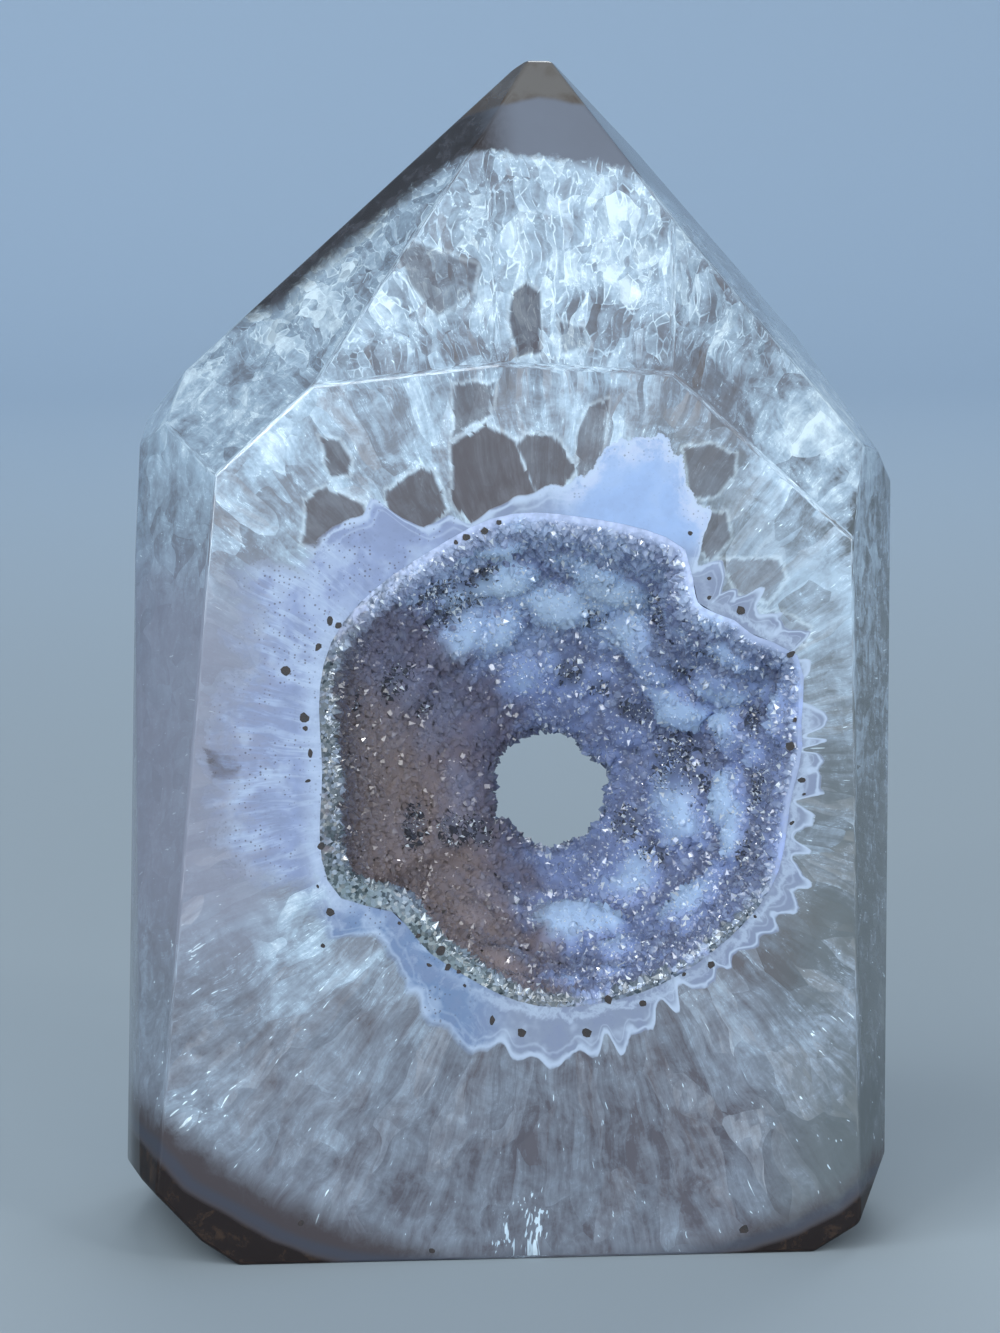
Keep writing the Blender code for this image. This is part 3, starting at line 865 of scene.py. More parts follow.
def edit_all(piece, *steps):
    """Runs some edit mode steps on all of a piece, and then turns its faces outwards."""
    only(piece)
    bpy.ops.object.mode_set(mode="EDIT")
    bpy.ops.mesh.select_all(action="SELECT")
    for step in steps:
        step()
    bpy.ops.mesh.normals_make_consistent(inside=False)
    bpy.ops.object.mode_set(mode="OBJECT")


def finish_with(piece, material):
    piece.data.materials.clear()
    piece.data.materials.append(material)
    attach(piece, "root")


# %% A smooth-edged copy of the stone
MERGE_NEARER, FLAT_TO, SMOOTH_TO = 2e-6, math.radians(0.4), math.radians(40)


def merged_copy(node, name):
    only(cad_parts[node])
    bpy.ops.object.duplicate()
    piece = bpy.context.active_object
    piece.name = name
    piece.data.name = name
    piece.parent = None
    for key in list(piece.keys()):
        del piece[key]
    edit_all(
        piece,
        lambda: bpy.ops.mesh.remove_doubles(threshold=MERGE_NEARER),
        lambda: bpy.ops.mesh.dissolve_limited(angle_limit=FLAT_TO),
    )
    return piece


tower = merged_copy("stone", "tower_stone")
only(tower)
bpy.ops.object.shade_smooth_by_angle(angle=SMOOTH_TO)
even = tower.modifiers.new("flat faces, round edges", "WEIGHTED_NORMAL")
even.keep_sharp = True
even.weight = 100
bpy.ops.object.modifier_apply(modifier=even.name)
finish_with(tower, polished_agate)
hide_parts("stone")
print("stone has", len(tower.data.polygons), "faces")

# %% [markdown]
# ## The crystal lining
#
# The hollow is lined with a crust of rounded lumps, each covered with quartz points. The lumps
# stand where the solid has them: every lump is a dome over a place on the wall, and where two
# meet, the taller one wins, which leaves a sharp valley between them.

# %% The lumps: direction in degrees, place along the wall, radius and rise in metres
LUMPS = (
    (103, 0.29, 0.0036, 0.0019), (87, 0.38, 0.0034, 0.0019), (73, 0.28, 0.0034, 0.0017),
    (59, 0.37, 0.0038, 0.0020), (111, 0.41, 0.0032, 0.0015), (103, 0.57, 0.0036, 0.0015),
    (123, 0.38, 0.0036, 0.0014), (145, 0.38, 0.0032, 0.0010), (33, 0.41, 0.0036, 0.0018),
    (29, 0.27, 0.0032, 0.0015), (19, 0.34, 0.0034, 0.0017), (353, 0.49, 0.0042, 0.0020),
    (353, 0.33, 0.0034, 0.0016), (343, 0.28, 0.0034, 0.0016), (275, 0.63, 0.0036, 0.0018),
    (307, 0.54, 0.0042, 0.0021), (277, 0.42, 0.0048, 0.0027), (317, 0.30, 0.0040, 0.0017),
)
SMALL_LUMPS, SMALL_RADIUS, SMALL_RISE = 60, (0.0016, 0.0027), 0.46
SMALL_PLACES, SMOOTH_SIDE = (0.08, 0.74), (150, 235)


def all_lumps():
    chance = random.Random(11)
    lumps = [(turn, along, radius, rise) for turn, along, radius, rise in LUMPS]
    for _ in range(SMALL_LUMPS):
        turn, along = chance.uniform(0, 360), chance.uniform(*SMALL_PLACES)
        radius = chance.uniform(*SMALL_RADIUS)
        if not SMOOTH_SIDE[0] < turn < SMOOTH_SIDE[1]:
            lumps.append((turn, along, radius, SMALL_RISE * radius))
    return lumps


def ripples(places, waves):
    """Soft unevenness between -1 and 1, with so many radians to the metre."""
    x, y, z = (waves * places[..., axis] for axis in range(3))
    waves = (x + 0.7 * z, 0.9 * z - 0.8 * x + 1.3, 1.1 * y + 0.5 * x + 2.1)
    return sum(np.sin(wave) for wave in waves) / 3


def lump_rise(places):
    """Height of the lumps over places of the wall: the tallest dome that covers each."""
    rise = np.zeros(places.shape[:-1])
    uneven = 1 + 0.16 * ripples(places, 900) + 0.08 * ripples(places, 2300)
    for turn, along, radius, height in all_lumps():
        far = np.linalg.norm(places - wall_place(turn, along), axis=-1) / (1.13 * radius) * uneven
        rise = np.maximum(rise, height * np.clip(1 - far * far, 0, 1) ** 0.95)
    return rise


print("lumps:", len(all_lumps()), "of them large:", len(LUMPS))

# %% [markdown]
# ## How thick the crust is
#
# The crust is thinnest where it starts at the rim, and there it is toothed and sugary, with a
# thicker ledge below on the left. It reaches its full body a few millimetres in, and gets thin
# again in the neck at the back.

# %% Height of the crust over the wall
CRUST_THICKNESS = 0.0013
NECK_THICKNESS, NECK_START, NECK_LENGTH, LUMPS_LOST_IN_NECK = 0.0005, 0.006, 0.007, 0.8
RIM_THICKNESS, RIM_LENGTH = 0.00014, 0.003
RIM_TEETH, TOOTH_WAVES = 0.00034, (37, 59, 97)
LEDGE_THICKNESS, LEDGE_TURN, LEDGE_SPREAD = 0.0010, 212, 24
SUGARY_TURN, SUGARY_SPREAD = 196, 70
ROUGH_HEIGHT, ROUGH_WAVES = 0.00014, 3900


def crust_height(places):
    """Height of the crust's face over the wall, and the lumps' share of it."""
    neck = np.clip((places[..., 1] - NECK_START) / NECK_LENGTH, 0, 1)
    rim = np.clip((places[..., 1] + HALF_DEPTH) / RIM_LENGTH, 0, 1)
    lumps = lump_rise(places) * rim * (1 - LUMPS_LOST_IN_NECK * neck)
    body = CRUST_THICKNESS + (NECK_THICKNESS - CRUST_THICKNESS) * neck
    turn = np.arctan2(places[..., 2] - FRONT_MIDDLE[1], places[..., 0] - FRONT_MIDDLE[0])
    degrees = np.mod(np.degrees(turn), 360)
    teeth = sum(np.abs(np.sin(0.5 * waves * turn + waves)) for waves in TOOTH_WAVES) / 3
    sugary = np.clip(1.2 - np.abs(degrees - SUGARY_TURN) / SUGARY_SPREAD, 0, 1)
    ledge = np.clip(1.4 - np.abs(degrees - LEDGE_TURN) / LEDGE_SPREAD, 0, 1)
    thin = RIM_THICKNESS + LEDGE_THICKNESS * ledge + RIM_TEETH * teeth * (1 + 1.5 * sugary)
    rough = ROUGH_HEIGHT * ripples(places, ROUGH_WAVES) * rim
    return thin + (body - thin) * np.sqrt(rim) + lumps + rough, lumps


# %% Rings of points for the face of the crust and for its back on the wall
ROUND, DEEP, WALL = 360, 96, 12
FACE_EDGE = HALF_DEPTH - 0.00006
BEHIND_WALL = 0.00003
turns = np.arange(ROUND) * 360 / ROUND


def whole_turn(along):
    """Points of the wall all round the hollow."""
    return wall_place(turns, np.full(ROUND, along))


def ring(along, inward):
    wall = whole_turn(along)
    moved = wall - into_stone(turns, np.full(ROUND, along)) * inward(wall)[:, None]
    moved[:, 1] = np.clip(moved[:, 1], -FACE_EDGE, FACE_EDGE)
    if along in (0.0, 1.0):
        moved[:, 1] = FACE_EDGE if along else -FACE_EDGE
    return moved


inner = [ring(step / DEEP, lambda wall: crust_height(wall)[0]) for step in range(DEEP + 1)]
outer = [ring(step / WALL, lambda wall: np.full(ROUND, -BEHIND_WALL)) for step in range(WALL + 1)]
rings = np.array(inner + outer[::-1])
crust_points = rings.reshape(-1, 3)
rises = np.concatenate([crust_height(whole_turn(step / DEEP))[1] for step in range(DEEP + 1)])
rises = np.concatenate((rises, np.zeros((WALL + 1) * ROUND)))
print("tallest lump:", MILLIMETRES * rises.max(), "mm")

# %% Faces between the rings
steps = np.arange(ROUND)
faces = []
for row in range(len(rings)):
    after = (row + 1) % len(rings)
    near, next_one = row * ROUND + steps, row * ROUND + (steps + 1) % ROUND
    far_near, far_next = after * ROUND + steps, after * ROUND + (steps + 1) % ROUND
    faces.append(np.stack((near, far_near, far_next, next_one), axis=1))
faces = np.concatenate(faces)
print("the crust has", len(faces), "faces")

# %% Dark clusters on the crust: direction in degrees, place along the wall, radius in mm
DARK_CLUSTERS = (
    (119, 0.29, 2.0), (123, 0.21, 1.4), (147, 0.33, 1.3), (79, 0.38, 1.2), (55, 0.23, 1.0),
    (9, 0.49, 1.9), (3, 0.44, 1.6), (193, 0.47, 1.2), (203, 0.57, 0.8), (211, 0.63, 0.7),
    (355, 0.23, 1.2), (335, 0.63, 0.7), (81, 0.55, 0.6), (43, 0.52, 0.6), (339, 0.23, 0.9),
    (15, 0.26, 1.0), (15, 0.34, 1.2), (65, 0.56, 0.5), (147, 0.45, 0.5), (229, 0.15, 1.1),
    (159, 0.21, 0.6), (111, 0.25, 1.2), (39, 0.19, 0.9), (43, 0.31, 0.7), (325, 0.52, 0.7),
)
CLUSTER_CORE, CLUSTER_FULL = 1.2, 1.5


def darkness(where):
    """How much each place belongs to a dark cluster, from 0 to 1."""
    dark = np.zeros(len(where))
    for turn, along, radius in DARK_CLUSTERS:
        gap = np.linalg.norm(where - wall_place(turn, along), axis=1) * MILLIMETRES - CLUSTER_CORE
        dark = np.maximum(dark, np.clip(CLUSTER_FULL - gap / radius, 0, 1))
    return dark


print("share of the crust in dark clusters:", (darkness(crust_points) > 0).mean())

# %% [markdown]
# ## The skin of the lining
#
# The lining follows a formula and has tens of thousands of points, so it is written straight
# from arrays. Each point also keeps the height of its lump and how dark its cluster is, because
# the material needs both later.

# %% The lining as one mesh
def new_piece(name, points, polygons, **marks):
    """An object from points and polygons, with a value at each point for each mark."""
    mesh = bpy.data.meshes.new(name)
    mesh.from_pydata(points, [], polygons)
    for mark, values in marks.items():
        layer = mesh.attributes.new(mark, "FLOAT", "POINT")
        layer.data.foreach_set("value", np.asarray(values, np.float32))
    mesh.update()
    piece = bpy.data.objects.new(name, mesh)
    bpy.context.scene.collection.objects.link(piece)
    return piece


marks = {"rise": rises * MILLIMETRES, "dark": darkness(crust_points)}
lining = new_piece("druse_lining", crust_points.tolist(), faces.tolist(), **marks)
edit_all(lining)
bpy.ops.object.shade_smooth_by_angle(angle=math.radians(50))
print("lining has", len(lining.data.polygons), "faces")

# %% [markdown]
# ## Thousands of quartz points
#
# Up close the crust is all small crystals: six flat sides that meet in a point, leaning every
# way. One crystal is only a ring and a tip, so thousands can be joined into one mesh. Each is
# set on a random place of the crust, spread by area, and leans a little off the crust's own
# direction. Flat faces matter more than shape here, because each one flashes when it mirrors a
# lamp.

# %% Places spread over the crust
RIM_REACH, TOWARDS_MOUTH = 0.0035, -0.004


def spread(count, seed, low_places=0.0, front_only=None):
    """Random places on the crust's inner face: where, which way is out, and height of the lumps."""
    chance = np.random.default_rng(seed)
    inner_faces = faces[: DEEP * ROUND]
    a, b, c, d = (crust_points[inner_faces[:, side]] for side in range(4))
    weight = np.linalg.norm(np.cross(c - a, d - b), axis=1)
    weight *= np.exp(-low_places * rises[inner_faces[:, 0]] * MILLIMETRES)
    if front_only is not None:
        middle = (a + c) / 2
        turn = np.arctan2(middle[:, 2] - FRONT_MIDDLE[1], middle[:, 0] - FRONT_MIDDLE[0])
        sides = np.interp(np.mod(np.degrees(turn), 360), *front_only)
        weight *= sides * np.clip(1 - (middle[:, 1] + HALF_DEPTH) / RIM_REACH, 0, 1)
    chosen = chance.choice(len(inner_faces), count, p=weight / weight.sum())
    u, v = chance.random((2, count, 1))
    a, b, c, d = (part[chosen] for part in (a, b, c, d))
    where = (1 - u) * ((1 - v) * a + v * b) + u * ((1 - v) * d + v * c)
    out = np.cross(d - b, c - a)
    out /= np.linalg.norm(out, axis=1, keepdims=True)
    depth = (where[:, 1:2] + HALF_DEPTH) / (2 * HALF_DEPTH)
    axis = FRONT_MIDDLE + (BACK_MIDDLE - FRONT_MIDDLE) * depth
    forward = np.full(count, TOWARDS_MOUTH)
    to_axis = np.stack((axis[:, 0] - where[:, 0], forward, axis[:, 1] - where[:, 2]), axis=1)
    out *= np.sign((out * to_axis).sum(axis=1, keepdims=True))
    return where, out, rises[inner_faces[chosen, 0]], chance


# %% One mesh of many crystals
SUNK, SHOULDER_WIDTH, SIDES = -0.35, 0.94, 6


def crystals(name, where, out, rise, chance, radius, height, lean, shoulder):
    """Joined crystals: a sunk ring, a shoulder ring if shoulder is over 0, and a tip."""
    count = len(where)
    axis = out + lean * chance.normal(size=(count, 3))
    axis /= np.linalg.norm(axis, axis=1, keepdims=True)
    side = np.cross(axis, chance.normal(size=(count, 3)))
    side /= np.linalg.norm(side, axis=1, keepdims=True)
    other = np.cross(axis, side)
    wide = chance.uniform(*radius, size=(count, 1))
    tall = wide * chance.uniform(*height, size=(count, 1))
    stretch = chance.uniform(0.7, 1.0, size=(count, 1))
    levels = [(SUNK, 1.0)] + ([(shoulder, SHOULDER_WIDTH)] if shoulder else [])
    points = []
    for level, share in levels:
        for corner in range(SIDES):
            angle = 2 * math.pi * corner / SIDES
            across = math.cos(angle) * side + math.sin(angle) * stretch * other
            points.append(where + across * wide * share + axis * tall * level)
    points.append(where + axis * tall)
    points = np.stack(points, axis=1)
    points[..., 1] += np.clip(-FACE_EDGE - points[..., 1].min(axis=1, keepdims=True), 0, None)
    points[..., 1] = np.clip(points[..., 1], -FACE_EDGE, FACE_EDGE)
    per = points.shape[1]
    corner = np.arange(SIDES)
    after = (corner + 1) % SIDES
    last = (len(levels) - 1) * SIDES
    start = (np.arange(count) * per)[:, None, None]
    tips = np.stack((last + corner, last + after, np.full(SIDES, per - 1)), axis=1)
    polygons = [(start + tips[None]).reshape(-1, 3)]
    if shoulder:
        low_half = np.stack((corner, after, SIDES + after), axis=1)
        high_half = np.stack((corner, SIDES + after, SIDES + corner), axis=1)
        polygons.append((start + np.concatenate((low_half, high_half))[None]).reshape(-1, 3))
    polygons = np.concatenate(polygons).tolist()
    marks = {"rise": rise * MILLIMETRES, "shade": chance.random(count), "dark": darkness(where)}
    marks = {mark: np.repeat(values, per) for mark, values in marks.items()}
    piece = new_piece(name, points.reshape(-1, 3).tolist(), polygons, **marks)
    flash = piece.data.attributes.new("flash", "FLOAT", "FACE")
    flash.data.foreach_set("value", chance.random(len(polygons)).astype(np.float32))
    skin = piece.data.attributes.new("skin_direction", "FLOAT_VECTOR", "POINT")
    skin.data.foreach_set("vector", np.repeat(out, per, axis=0).astype(np.float32).ravel())
    return piece


# %% Fine points everywhere, larger ones between the lumps, and sugary ones along the rim
SUGARY_SIDES = (
    (0, 60, 110, 150, 200, 250, 290, 330, 360), (0.1, 0.08, 0.15, 1.0, 1.3, 1.3, 0.7, 0.25, 0.1),
)
fine_points = crystals(
    "druse_fine_points", *spread(31000, 3), radius=(0.00010, 0.00020), height=(0.6, 1.3),
    lean=0.30, shoulder=0,
)
large_points = crystals(
    "druse_large_points", *spread(5200, 4, 0.7), radius=(0.00020, 0.00046), height=(1.1, 2.0),
    lean=0.45, shoulder=0.4,
)
rim_points = crystals(
    "druse_rim_points", *spread(2400, 5, 0, SUGARY_SIDES), radius=(0.00022, 0.00050),
    height=(1.0, 2.2), lean=0.45, shoulder=0.4,
)
all_points = (fine_points, large_points, rim_points)
print("faces of the points:", [len(piece.data.polygons) for piece in all_points])

# %% [markdown]
# ## The colour of the lining
#
# The tops of the lumps are pale blue and sugary, the valleys grey violet, and the upper half is
# painted lighter: painted light for the hollow's roof, which faces down and gets little lamp light.
# The height of the lumps was kept with the mesh, so the material can tell a top from a valley.
# The skin and the points on it share these steps: the skin takes its unevenness from a soft
# pattern, and every point has a shade of its own.

# %% The colour of lumps and valleys
LUMP_TOP = (0.53, 0.72, 1.0)
LUMP_SIDE = (0.28, 0.37, 0.66)
VALLEY = (0.21, 0.26, 0.46)
LOW_VALLEY = (0.150, 0.180, 0.300)
UPPER_PAINTED_LIGHT = (0.60, 0.78, 1.0)
RIM_CHIPS = 3.4


def druse_places(f, is_points):
    """A notebook with the place in mm, soft patterns, and the shade of each point or chip."""
    here = SimpleNamespace(place=f.in_mm())
    here.x, here.y, here.z = f.parts(here.place)
    here.grain = f.noise(here.place, 1.3, 2.0, 0.6)
    here.cloud = f.noise(here.place, 0.20, 3.0, 0.6)
    here.chip = f.cells(here.place, RIM_CHIPS).outputs["Color"]
    here.shade = f.attribute("shade") if is_points else here.grain
    here.speck = here.shade if is_points else f.parts(here.chip)[0]
    return here


def lump_colour(f, here):
    lumpy = f.plus(f.add(f.attribute("rise"), -1.2), here.cloud, 2.4)
    here.lumpy = f.plus(lumpy, here.grain, 0.7)
    here.on_top = f.step(here.lumpy, 0.8, 2.0)
    # Painted light: the upper half of the lining is painted lighter than the lower.
    upper = f.step(here.z, 44.0, 56.0)
    low, side, top = (f.blend(upper, *pair) for pair in (
        (LOW_VALLEY, VALLEY), (LUMP_SIDE, LUMP_TOP), (LUMP_TOP, UPPER_PAINTED_LIGHT),
    ))
    return f.blend(here.on_top, f.blend(f.step(here.lumpy, 0.0, 1.0), low, side), top)


# %% [markdown]
# ## The smooth wall and the rim
#
# On the left the wall has no lumps: it is a smooth mauve that turns rusty brown lower down, and
# its lip is darkened with painted shade. All round the rim the crust ends in a sugary edge of
# light and dark chips, milky on the right and above, greenish grey on the left and on the ledge
# below. The overhanging edge at the top is painted pale, as painted light, since little light
# reaches it.

# %% The colours of the wall and the rim
WALL_MAUVE = (0.190, 0.180, 0.255)
WALL_LIGHT = (0.23, 0.24, 0.34)
WALL_BROWN = (0.305, 0.235, 0.198)
LIP_PAINTED_SHADE = (0.060, 0.045, 0.048)
SUGAR = (0.58, 0.71, 0.96)
RIM_GREY = (0.125, 0.155, 0.180)
RIM_DARK = (0.035, 0.060, 0.070)
RIM_MILK = (0.28, 0.35, 0.52)
LEDGE_GREEN = (0.20, 0.30, 0.33)
EAVES_PAINTED_LIGHT = (0.50, 0.58, 0.82)


def with_smooth_wall(f, here, colour):
    slanted = f.plus(here.x, f.larger(f.add(here.z, -43.0), 0.0), 1.15)
    slanted = f.plus(slanted, here.cloud, 10.0)
    here.side = f.step(slanted, 10.0, 5.0)
    rust = f.plus(f.plus(slanted, here.z, 0.45), here.grain, 4.0)
    # Painted shade: the wall just inside the left lip is darkened.
    wall = f.layered(f.blend(f.step(here.cloud, 0.40, 0.62), WALL_MAUVE, WALL_LIGHT), (
        (f.times(f.step(rust, 25.0, 13.5), 0.85), WALL_BROWN),
        (f.step(here.x, -11.5, -16.0, 0.0, 0.80), LIP_PAINTED_SHADE),
    ))
    return f.blend(f.times(here.side, 0.92), colour, wall)


def with_rim(f, here, colour):
    x, y, z, speck = here.x, here.y, here.z, here.speck
    ledge = f.times(f.step(x, 0.0, -5.0), f.step(z, 35.0, 31.0))
    rim = f.plus(f.plus(f.add(y, -2.0), here.grain, 2.6), here.cloud, 4.0)
    rim = f.step(f.plus(rim, ledge, -2.6), -16.2, -17.3)
    sugary = f.larger(f.step(x, -6.0, -14.0), f.step(z, 36.0, 28.0))
    here.sugary_rim = f.times(rim, sugary)
    chips = f.layered(RIM_GREY, (
        (f.step(speck, 0.45, 1.0, 0.0, 0.38), SUGAR),
        (f.times(ledge, 0.45), LEDGE_GREEN),
        (f.step(speck, 0.32, 0.18, 0.0, 0.72), RIM_DARK),
    ))
    # Painted light: the overhanging edge at the top is lightened, though little light reaches it.
    painted_eaves_light = f.step(here.grain, 0.35, 0.65, 0.2, 0.75)
    painted_eaves_light = f.times(f.step(z, 50.0, 56.0), f.step(y, -12.0, -15.5), painted_eaves_light)
    rim_colour = f.blend(sugary, RIM_MILK, chips)
    return f.layered(colour, ((f.times(rim, 0.9), rim_colour), (painted_eaves_light, EAVES_PAINTED_LIGHT)))


# %% [markdown]
# ## Every point on its own
#
# Each point is a little lighter or darker than the next. Most of its sides are calm; a few are
# painted white, as painted glints for a side that would mirror a lamp, and in the dark clusters
# some are nearly black. Every side has a random number, and where grains or lump flanks are, the
# bounds for white and dark are moved. The smooth wall is the calmest.

# %% The colours of single points
POINT_SHADE = (0.08, 0.09, 0.14)
CLUSTER_SHADE = (0.09, 0.11, 0.16)
DARK_GRAIN = (0.020, 0.025, 0.035)
COARSE_GRAIN = (0.06, 0.07, 0.11)
PAINTED_GLINT_WHITE = (0.85, 0.93, 1.0)


def varied_colour(f, here, colour, is_points):
    lumpy, side = here.lumpy, here.side
    dark = f.attribute("dark")
    varied = f.times(f.between(side, 1.0, 0.18), f.step(lumpy, 0.8, 2.0, 1.0, 0.25))
    colour = f.layered(colour, (
        (f.times(f.step(here.shade, 0.55, 1.0, 0.0, 0.32), varied), SUGAR),
        (f.times(f.step(here.shade, 0.30, 0.0, 0.0, 0.22), varied), POINT_SHADE),
    ))
    if not is_points:
        return f.blend(f.times(dark, 0.6), colour, CLUSTER_SHADE)
    flash = f.attribute("flash")
    flank = f.times(f.step(lumpy, 0.3, 1.0), f.step(lumpy, 2.3, 1.4), f.minus(1.0, side))
    more_painted_glints = f.add(
        f.times(flank, 0.09), f.times(dark, 0.10), f.times(here.sugary_rim, 0.05),
        f.times(side, -0.033),
    )
    more_grain = f.times(f.step(here.grain, 0.50, 0.62), varied, 0.14)
    return f.layered(colour, (
        (f.step(f.minus(flash, f.times(dark, 0.6)), 0.0, -0.02, 0.0, 0.88), DARK_GRAIN),
        (f.step(f.minus(flash, more_grain), 0.0, -0.02, 0.0, 0.5), COARSE_GRAIN),
        # Painted glints: a few sides of the points are painted near white.
        (f.step(f.add(flash, more_painted_glints), 0.965, 0.975, 0.0, 0.92), PAINTED_GLINT_WHITE),
    ))


# %% [markdown]
# ## The shine of the lining
#
# The chips of the sugary rim are all tilted their own way. A point's flat sides are blended with
# the direction of the crust below it, so a field of points still reads as a round lump, and a
# strong clear coat makes the sides flash.

# %% The materials of the skin and of the points
DRUSE_IOR, POINT_COAT_IOR = 1.55, 1.8
CHIP_TILT = 1.5


def skin_surface(f, here):
    tilt = f.scaled(f.evened(here.chip), f.times(here.sugary_rim, CHIP_TILT))
    normal = f.vector("NORMALIZE", f.vector("ADD", f.facing(), tilt))
    f.set(f.shader, Normal=normal, Roughness=f.between(here.sugary_rim, 0.5, 0.2))


def point_surface(f, here):
    skin = f.attribute("skin_direction", "Vector")
    skin = f.scaled(skin, f.between(here.sugary_rim, 1.0, 0.2))
    flat = f.times(f.between(here.side, 0.80, 0.32), f.step(here.lumpy, 0.8, 2.0, 1.0, 0.65))
    normal = f.vector("NORMALIZE", f.vector("ADD", f.scaled(f.facing(), flat), skin))
    coat = f.times(f.between(here.side, 1.0, 0.55), f.step(here.lumpy, 0.8, 2.0, 1.0, 0.5))
    f.set(f.shader, Normal=normal, Roughness=0.22)
    f.set(f.shader, Coat_Weight=coat, Coat_Roughness=0.10, Coat_IOR=POINT_COAT_IOR)


def druse_finish(name, is_points):
    f = Finish(name)
    here = druse_places(f, is_points)
    colour = lump_colour(f, here)
    colour = with_smooth_wall(f, here, colour)
    colour = with_rim(f, here, colour)
    colour = varied_colour(f, here, colour, is_points)
    f.set(f.shader, Base_Color=colour, IOR=DRUSE_IOR, Metallic=0.0)
    surface = point_surface if is_points else skin_surface
    surface(f, here)
    return f.material


druse_skin = druse_finish("quartz_druse", False)
druse_sparkle = druse_finish("quartz_points", True)
finish_with(lining, druse_skin)
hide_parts("druse_crust")
for piece in all_points:
    finish_with(piece, druse_sparkle)
print("point material has", len(druse_sparkle.node_tree.nodes), "nodes")

# %% [markdown]
# ## Dark grains
#
# Small dark mineral grains sit along the inner edge of the milky band and in clusters on the
# crust. Those in the polished face were ground flat with it, so they are thin discs that
# barely stand above it.

# %% Places of the grains in the polished face: across and up, in mm
FACE_GRAINS = (
    (-6.6, 60.7), (-5.7, 61.1), (-4.2, 61.6), (-3.0, 62.3), (13.0, 61.2), (14.6, 57.4), (14.6, 55.8),
    (17.3, 54.7), (21.5, 50.9), (21.9, 45.4), (21.5, 43.2), (22.5, 40.3), (22.7, 39.1), (21.7, 36.7),
    (18.6, 28.8), (14.9, 24.8), (12.6, 24.0), (9.1, 21.6), (6.2, 22.0), (4.4, 19.2), (-1.1, 19.3),
    (-3.6, 20.4), (-8.9, 25.2), (-9.8, 27.7), (-11.4, 28.8), (-17.2, 29.8), (-18.2, 32.0),
    (-17.9, 35.4), (-19.0, 40.9), (-18.8, 43.2), (-19.2, 45.3), (-19.3, 46.2), (-20.8, 50.1),
    (-18.1, 52.1), (-17.1, 54.3), (-16.4, 53.9), (-19.7, 3.5), (-8.7, 0.9), (17.8, 2.1),
    (-7.3, 25.0), (-6.4, 24.6), (-7.9, 26.4), (-5.9, 23.4), (-16.6, 44.6), (-17.8, 27.0),
)

print("grains in the face:", len(FACE_GRAINS))

# %% The grains as flat discs
GRAIN_SIDES, GRAIN_SIZE = 9, (0.18, 0.48)
STANDS_PROUD, GOES_IN, BACK_SIZE = 0.00001, 0.0002, 0.8


def flat_grains(name, places, seed):
    chance = random.Random(seed)
    points, polygons = [], []
    for across, up in places:
        size = chance.uniform(*GRAIN_SIZE) * MM
        tilt, stretch = chance.uniform(0, math.pi), chance.uniform(0.55, 1.0)
        first = len(points)
        for corner in range(GRAIN_SIDES):
            angle = 2 * math.pi * corner / GRAIN_SIDES
            far = size * chance.uniform(0.75, 1.15)
            a, b = far * math.cos(angle), far * stretch * math.sin(angle)
            dx = a * math.cos(tilt) - b * math.sin(tilt)
            dz = a * math.sin(tilt) + b * math.cos(tilt)
            face, back = -HALF_DEPTH - STANDS_PROUD, -HALF_DEPTH + GOES_IN
            points.append((across * MM + dx, face, up * MM + dz))
            points.append((across * MM + BACK_SIZE * dx, back, up * MM + BACK_SIZE * dz))
        polygons.append([first + 2 * corner for corner in range(GRAIN_SIDES)])
        polygons.append([first + 2 * corner + 1 for corner in reversed(range(GRAIN_SIDES))])
        for corner in range(GRAIN_SIDES):
            low, high = first + 2 * corner, first + 2 * ((corner + 1) % GRAIN_SIDES)
            polygons.append([low, low + 1, high + 1, high])
    piece = new_piece(name, points, polygons)
    edit_all(piece)
    return piece


face_grains = flat_grains("dark_grains_in_face", FACE_GRAINS, 21)
print("faces of the grains:", len(face_grains.data.polygons))

# %% The material of the grains
GRAIN_BLACK = (0.008, 0.012, 0.015)
GRAIN_BROWN = (0.045, 0.030, 0.027)


def grain_finish():
    f = Finish("dark_grains")
    tone = f.noise(f.in_mm(), 3.0, 2.0)
    f.set(f.shader, Base_Color=f.blend(tone, GRAIN_BLACK, GRAIN_BROWN))
    f.set(f.shader, Roughness=0.25, Coat_Weight=0.6, Coat_Roughness=0.05)
    return f.material


dark_mineral = grain_finish()
finish_with(face_grains, dark_mineral)
print("grain material has", len(dark_mineral.node_tree.nodes), "nodes")

# %% [markdown]
# ## The floor
#
# The stone stands on a plain pale sheet. It lies flat for most of a metre behind the stone and
# curves up into a backdrop, so no horizon shows, and it gets a little bluer towards the back.

# %% The floor and its material
FLOOR_FRONT, FLOOR_BACK, CURVE, WALL_TOP, HALF_WIDTH = -3.0, 0.82, 0.35, 1.3, 3.0
CURVE_STEPS = 12
FLOOR_GREY = (0.36, 0.43, 0.48)
FLOOR_LIGHT = (0.38, 0.45, 0.50)
FLOOR_FAR = (0.53, 0.69, 0.87)


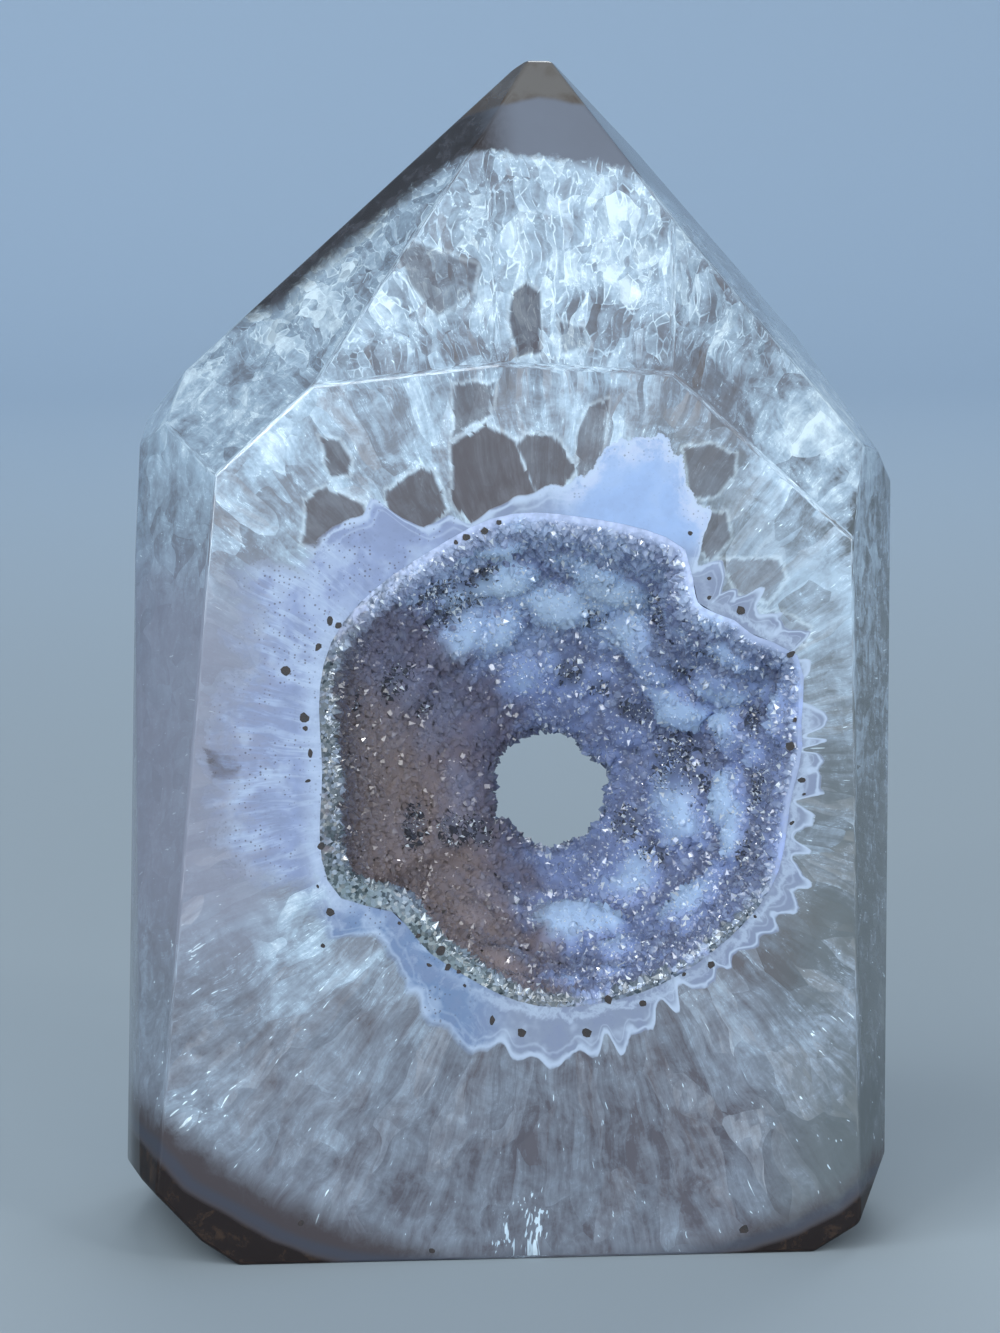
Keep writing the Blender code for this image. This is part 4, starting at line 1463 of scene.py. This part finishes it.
def sweep_floor():
    """A pale sheet that lies flat under the stone and curves up behind it."""
    profile = [(FLOOR_FRONT, 0.0), (FLOOR_BACK, 0.0)]
    for step in range(1, CURVE_STEPS + 1):
        angle = math.pi / 2 * step / CURVE_STEPS
        profile.append((FLOOR_BACK + CURVE * math.sin(angle), CURVE * (1 - math.cos(angle))))
    profile.append((FLOOR_BACK + CURVE, WALL_TOP))
    points = [(side * HALF_WIDTH, y, z) for y, z in profile for side in (-1, 1)]
    quads = [(2 * i, 2 * i + 1, 2 * i + 3, 2 * i + 2) for i in range(len(profile) - 1)]
    piece = new_piece("floor", points, quads)
    only(piece)
    bpy.ops.object.shade_smooth_by_angle(angle=math.radians(60))
    return piece


def floor_finish():
    f = Finish("pale_floor")
    place = f.node("TexCoord").outputs["Object"]
    tone = f.blend(f.noise(place, 3.0, 1.0), FLOOR_GREY, FLOOR_LIGHT)
    behind = f.step(f.parts(place)[1], 0.15, 1.1)
    f.set(f.shader, Base_Color=f.blend(behind, tone, FLOOR_FAR), Roughness=0.8)
    return f.material


floor = sweep_floor()
floor.data.materials.append(floor_finish())
print("the floor reaches", FLOOR_BACK + CURVE, "m behind the stone")

# %% [markdown]
# ## The lamps
#
# A large soft lamp lights the stone from the upper left, as in the photograph. Weaker ones fill
# the right, the front and the back, two low ones reach the foot, and three small bright ones are
# there only for the crystals to mirror.

# %% Lamps: name, place, size in metres, watts and colour
STONE_MIDDLE = (0, 0, 0.05)
COOL, SOFT_COOL, WHITE = (0.90, 0.96, 1.0), (0.93, 0.97, 1.0), (1, 1, 1)
LAMPS = (
    ("key", (-0.55, -0.60, 0.75), 0.70, 4.6, COOL),
    ("fill", (0.85, -0.55, 0.35), 0.60, 1.3, SOFT_COOL),
    ("front", (-0.10, -0.95, 0.30), 0.40, 3.3, SOFT_COOL),
    ("back", (0.15, 0.60, 0.75), 0.50, 2.5, COOL),
    ("low_left", (-0.50, -0.85, 0.03), 0.35, 3.0, COOL),
    ("low_right", (0.50, -0.85, 0.03), 0.35, 3.0, COOL),
    ("glint_0", (-0.35, -0.75, 0.42), 0.06, 0.5, WHITE),
    ("glint_1", (0.30, -0.70, 0.60), 0.06, 0.5, WHITE),
    ("glint_2", (0.55, -0.70, 0.25), 0.06, 0.5, WHITE),
)


def aimed(made, place, aim):
    """Puts a lamp or camera at its place, looking at the aim."""
    bpy.context.scene.collection.objects.link(made)
    made.location = place
    made.rotation_euler = (Vector(aim) - Vector(place)).to_track_quat("-Z", "Y").to_euler()


for name, place, size, watts, colour in LAMPS:
    light = bpy.data.lights.new(name, "AREA")
    light.shape = "SQUARE"
    light.size = size
    light.energy = watts
    light.color = colour
    aimed(bpy.data.objects.new(name, light), place, STONE_MIDDLE)

world = bpy.data.worlds.new("soft room")
world.use_nodes = True
background = world.node_tree.nodes["Background"]
background.inputs["Color"].default_value = (0.72, 0.82, 0.95, 1)
background.inputs["Strength"].default_value = 0.24
bpy.context.scene.world = world
bpy.context.scene.view_settings.view_transform = "Standard"
print("lamps:", len(LAMPS), "with", sum(watts for *_, watts, _ in LAMPS), "W")

# %% [markdown]
# ## The camera
#
# The photograph was taken nearly level, a little from the left, with a long lens. The camera
# stands on a circle round the stone's middle, and looks at a point a little lower.

# %% The camera
TURN, LIFT, DISTANCE = math.radians(-6.5), math.radians(7.0), 0.60
LENS, SENSOR, NEAREST = 188.8, 36.0, 0.01
AIM = Vector((-0.00085, 0.0, 0.0479))
camera_data = bpy.data.cameras.new("camera")
camera_data.lens = LENS
camera_data.sensor_width = SENSOR
camera_data.clip_start = NEAREST
camera = bpy.data.objects.new("camera", camera_data)
level = math.cos(LIFT)
away = Vector((math.sin(TURN) * level, -math.cos(TURN) * level, math.sin(LIFT)))
aimed(camera, Vector(STONE_MIDDLE) + away * DISTANCE, AIM)
bpy.context.scene.camera = camera
print("camera at", tuple(camera.location))

# %% [markdown]
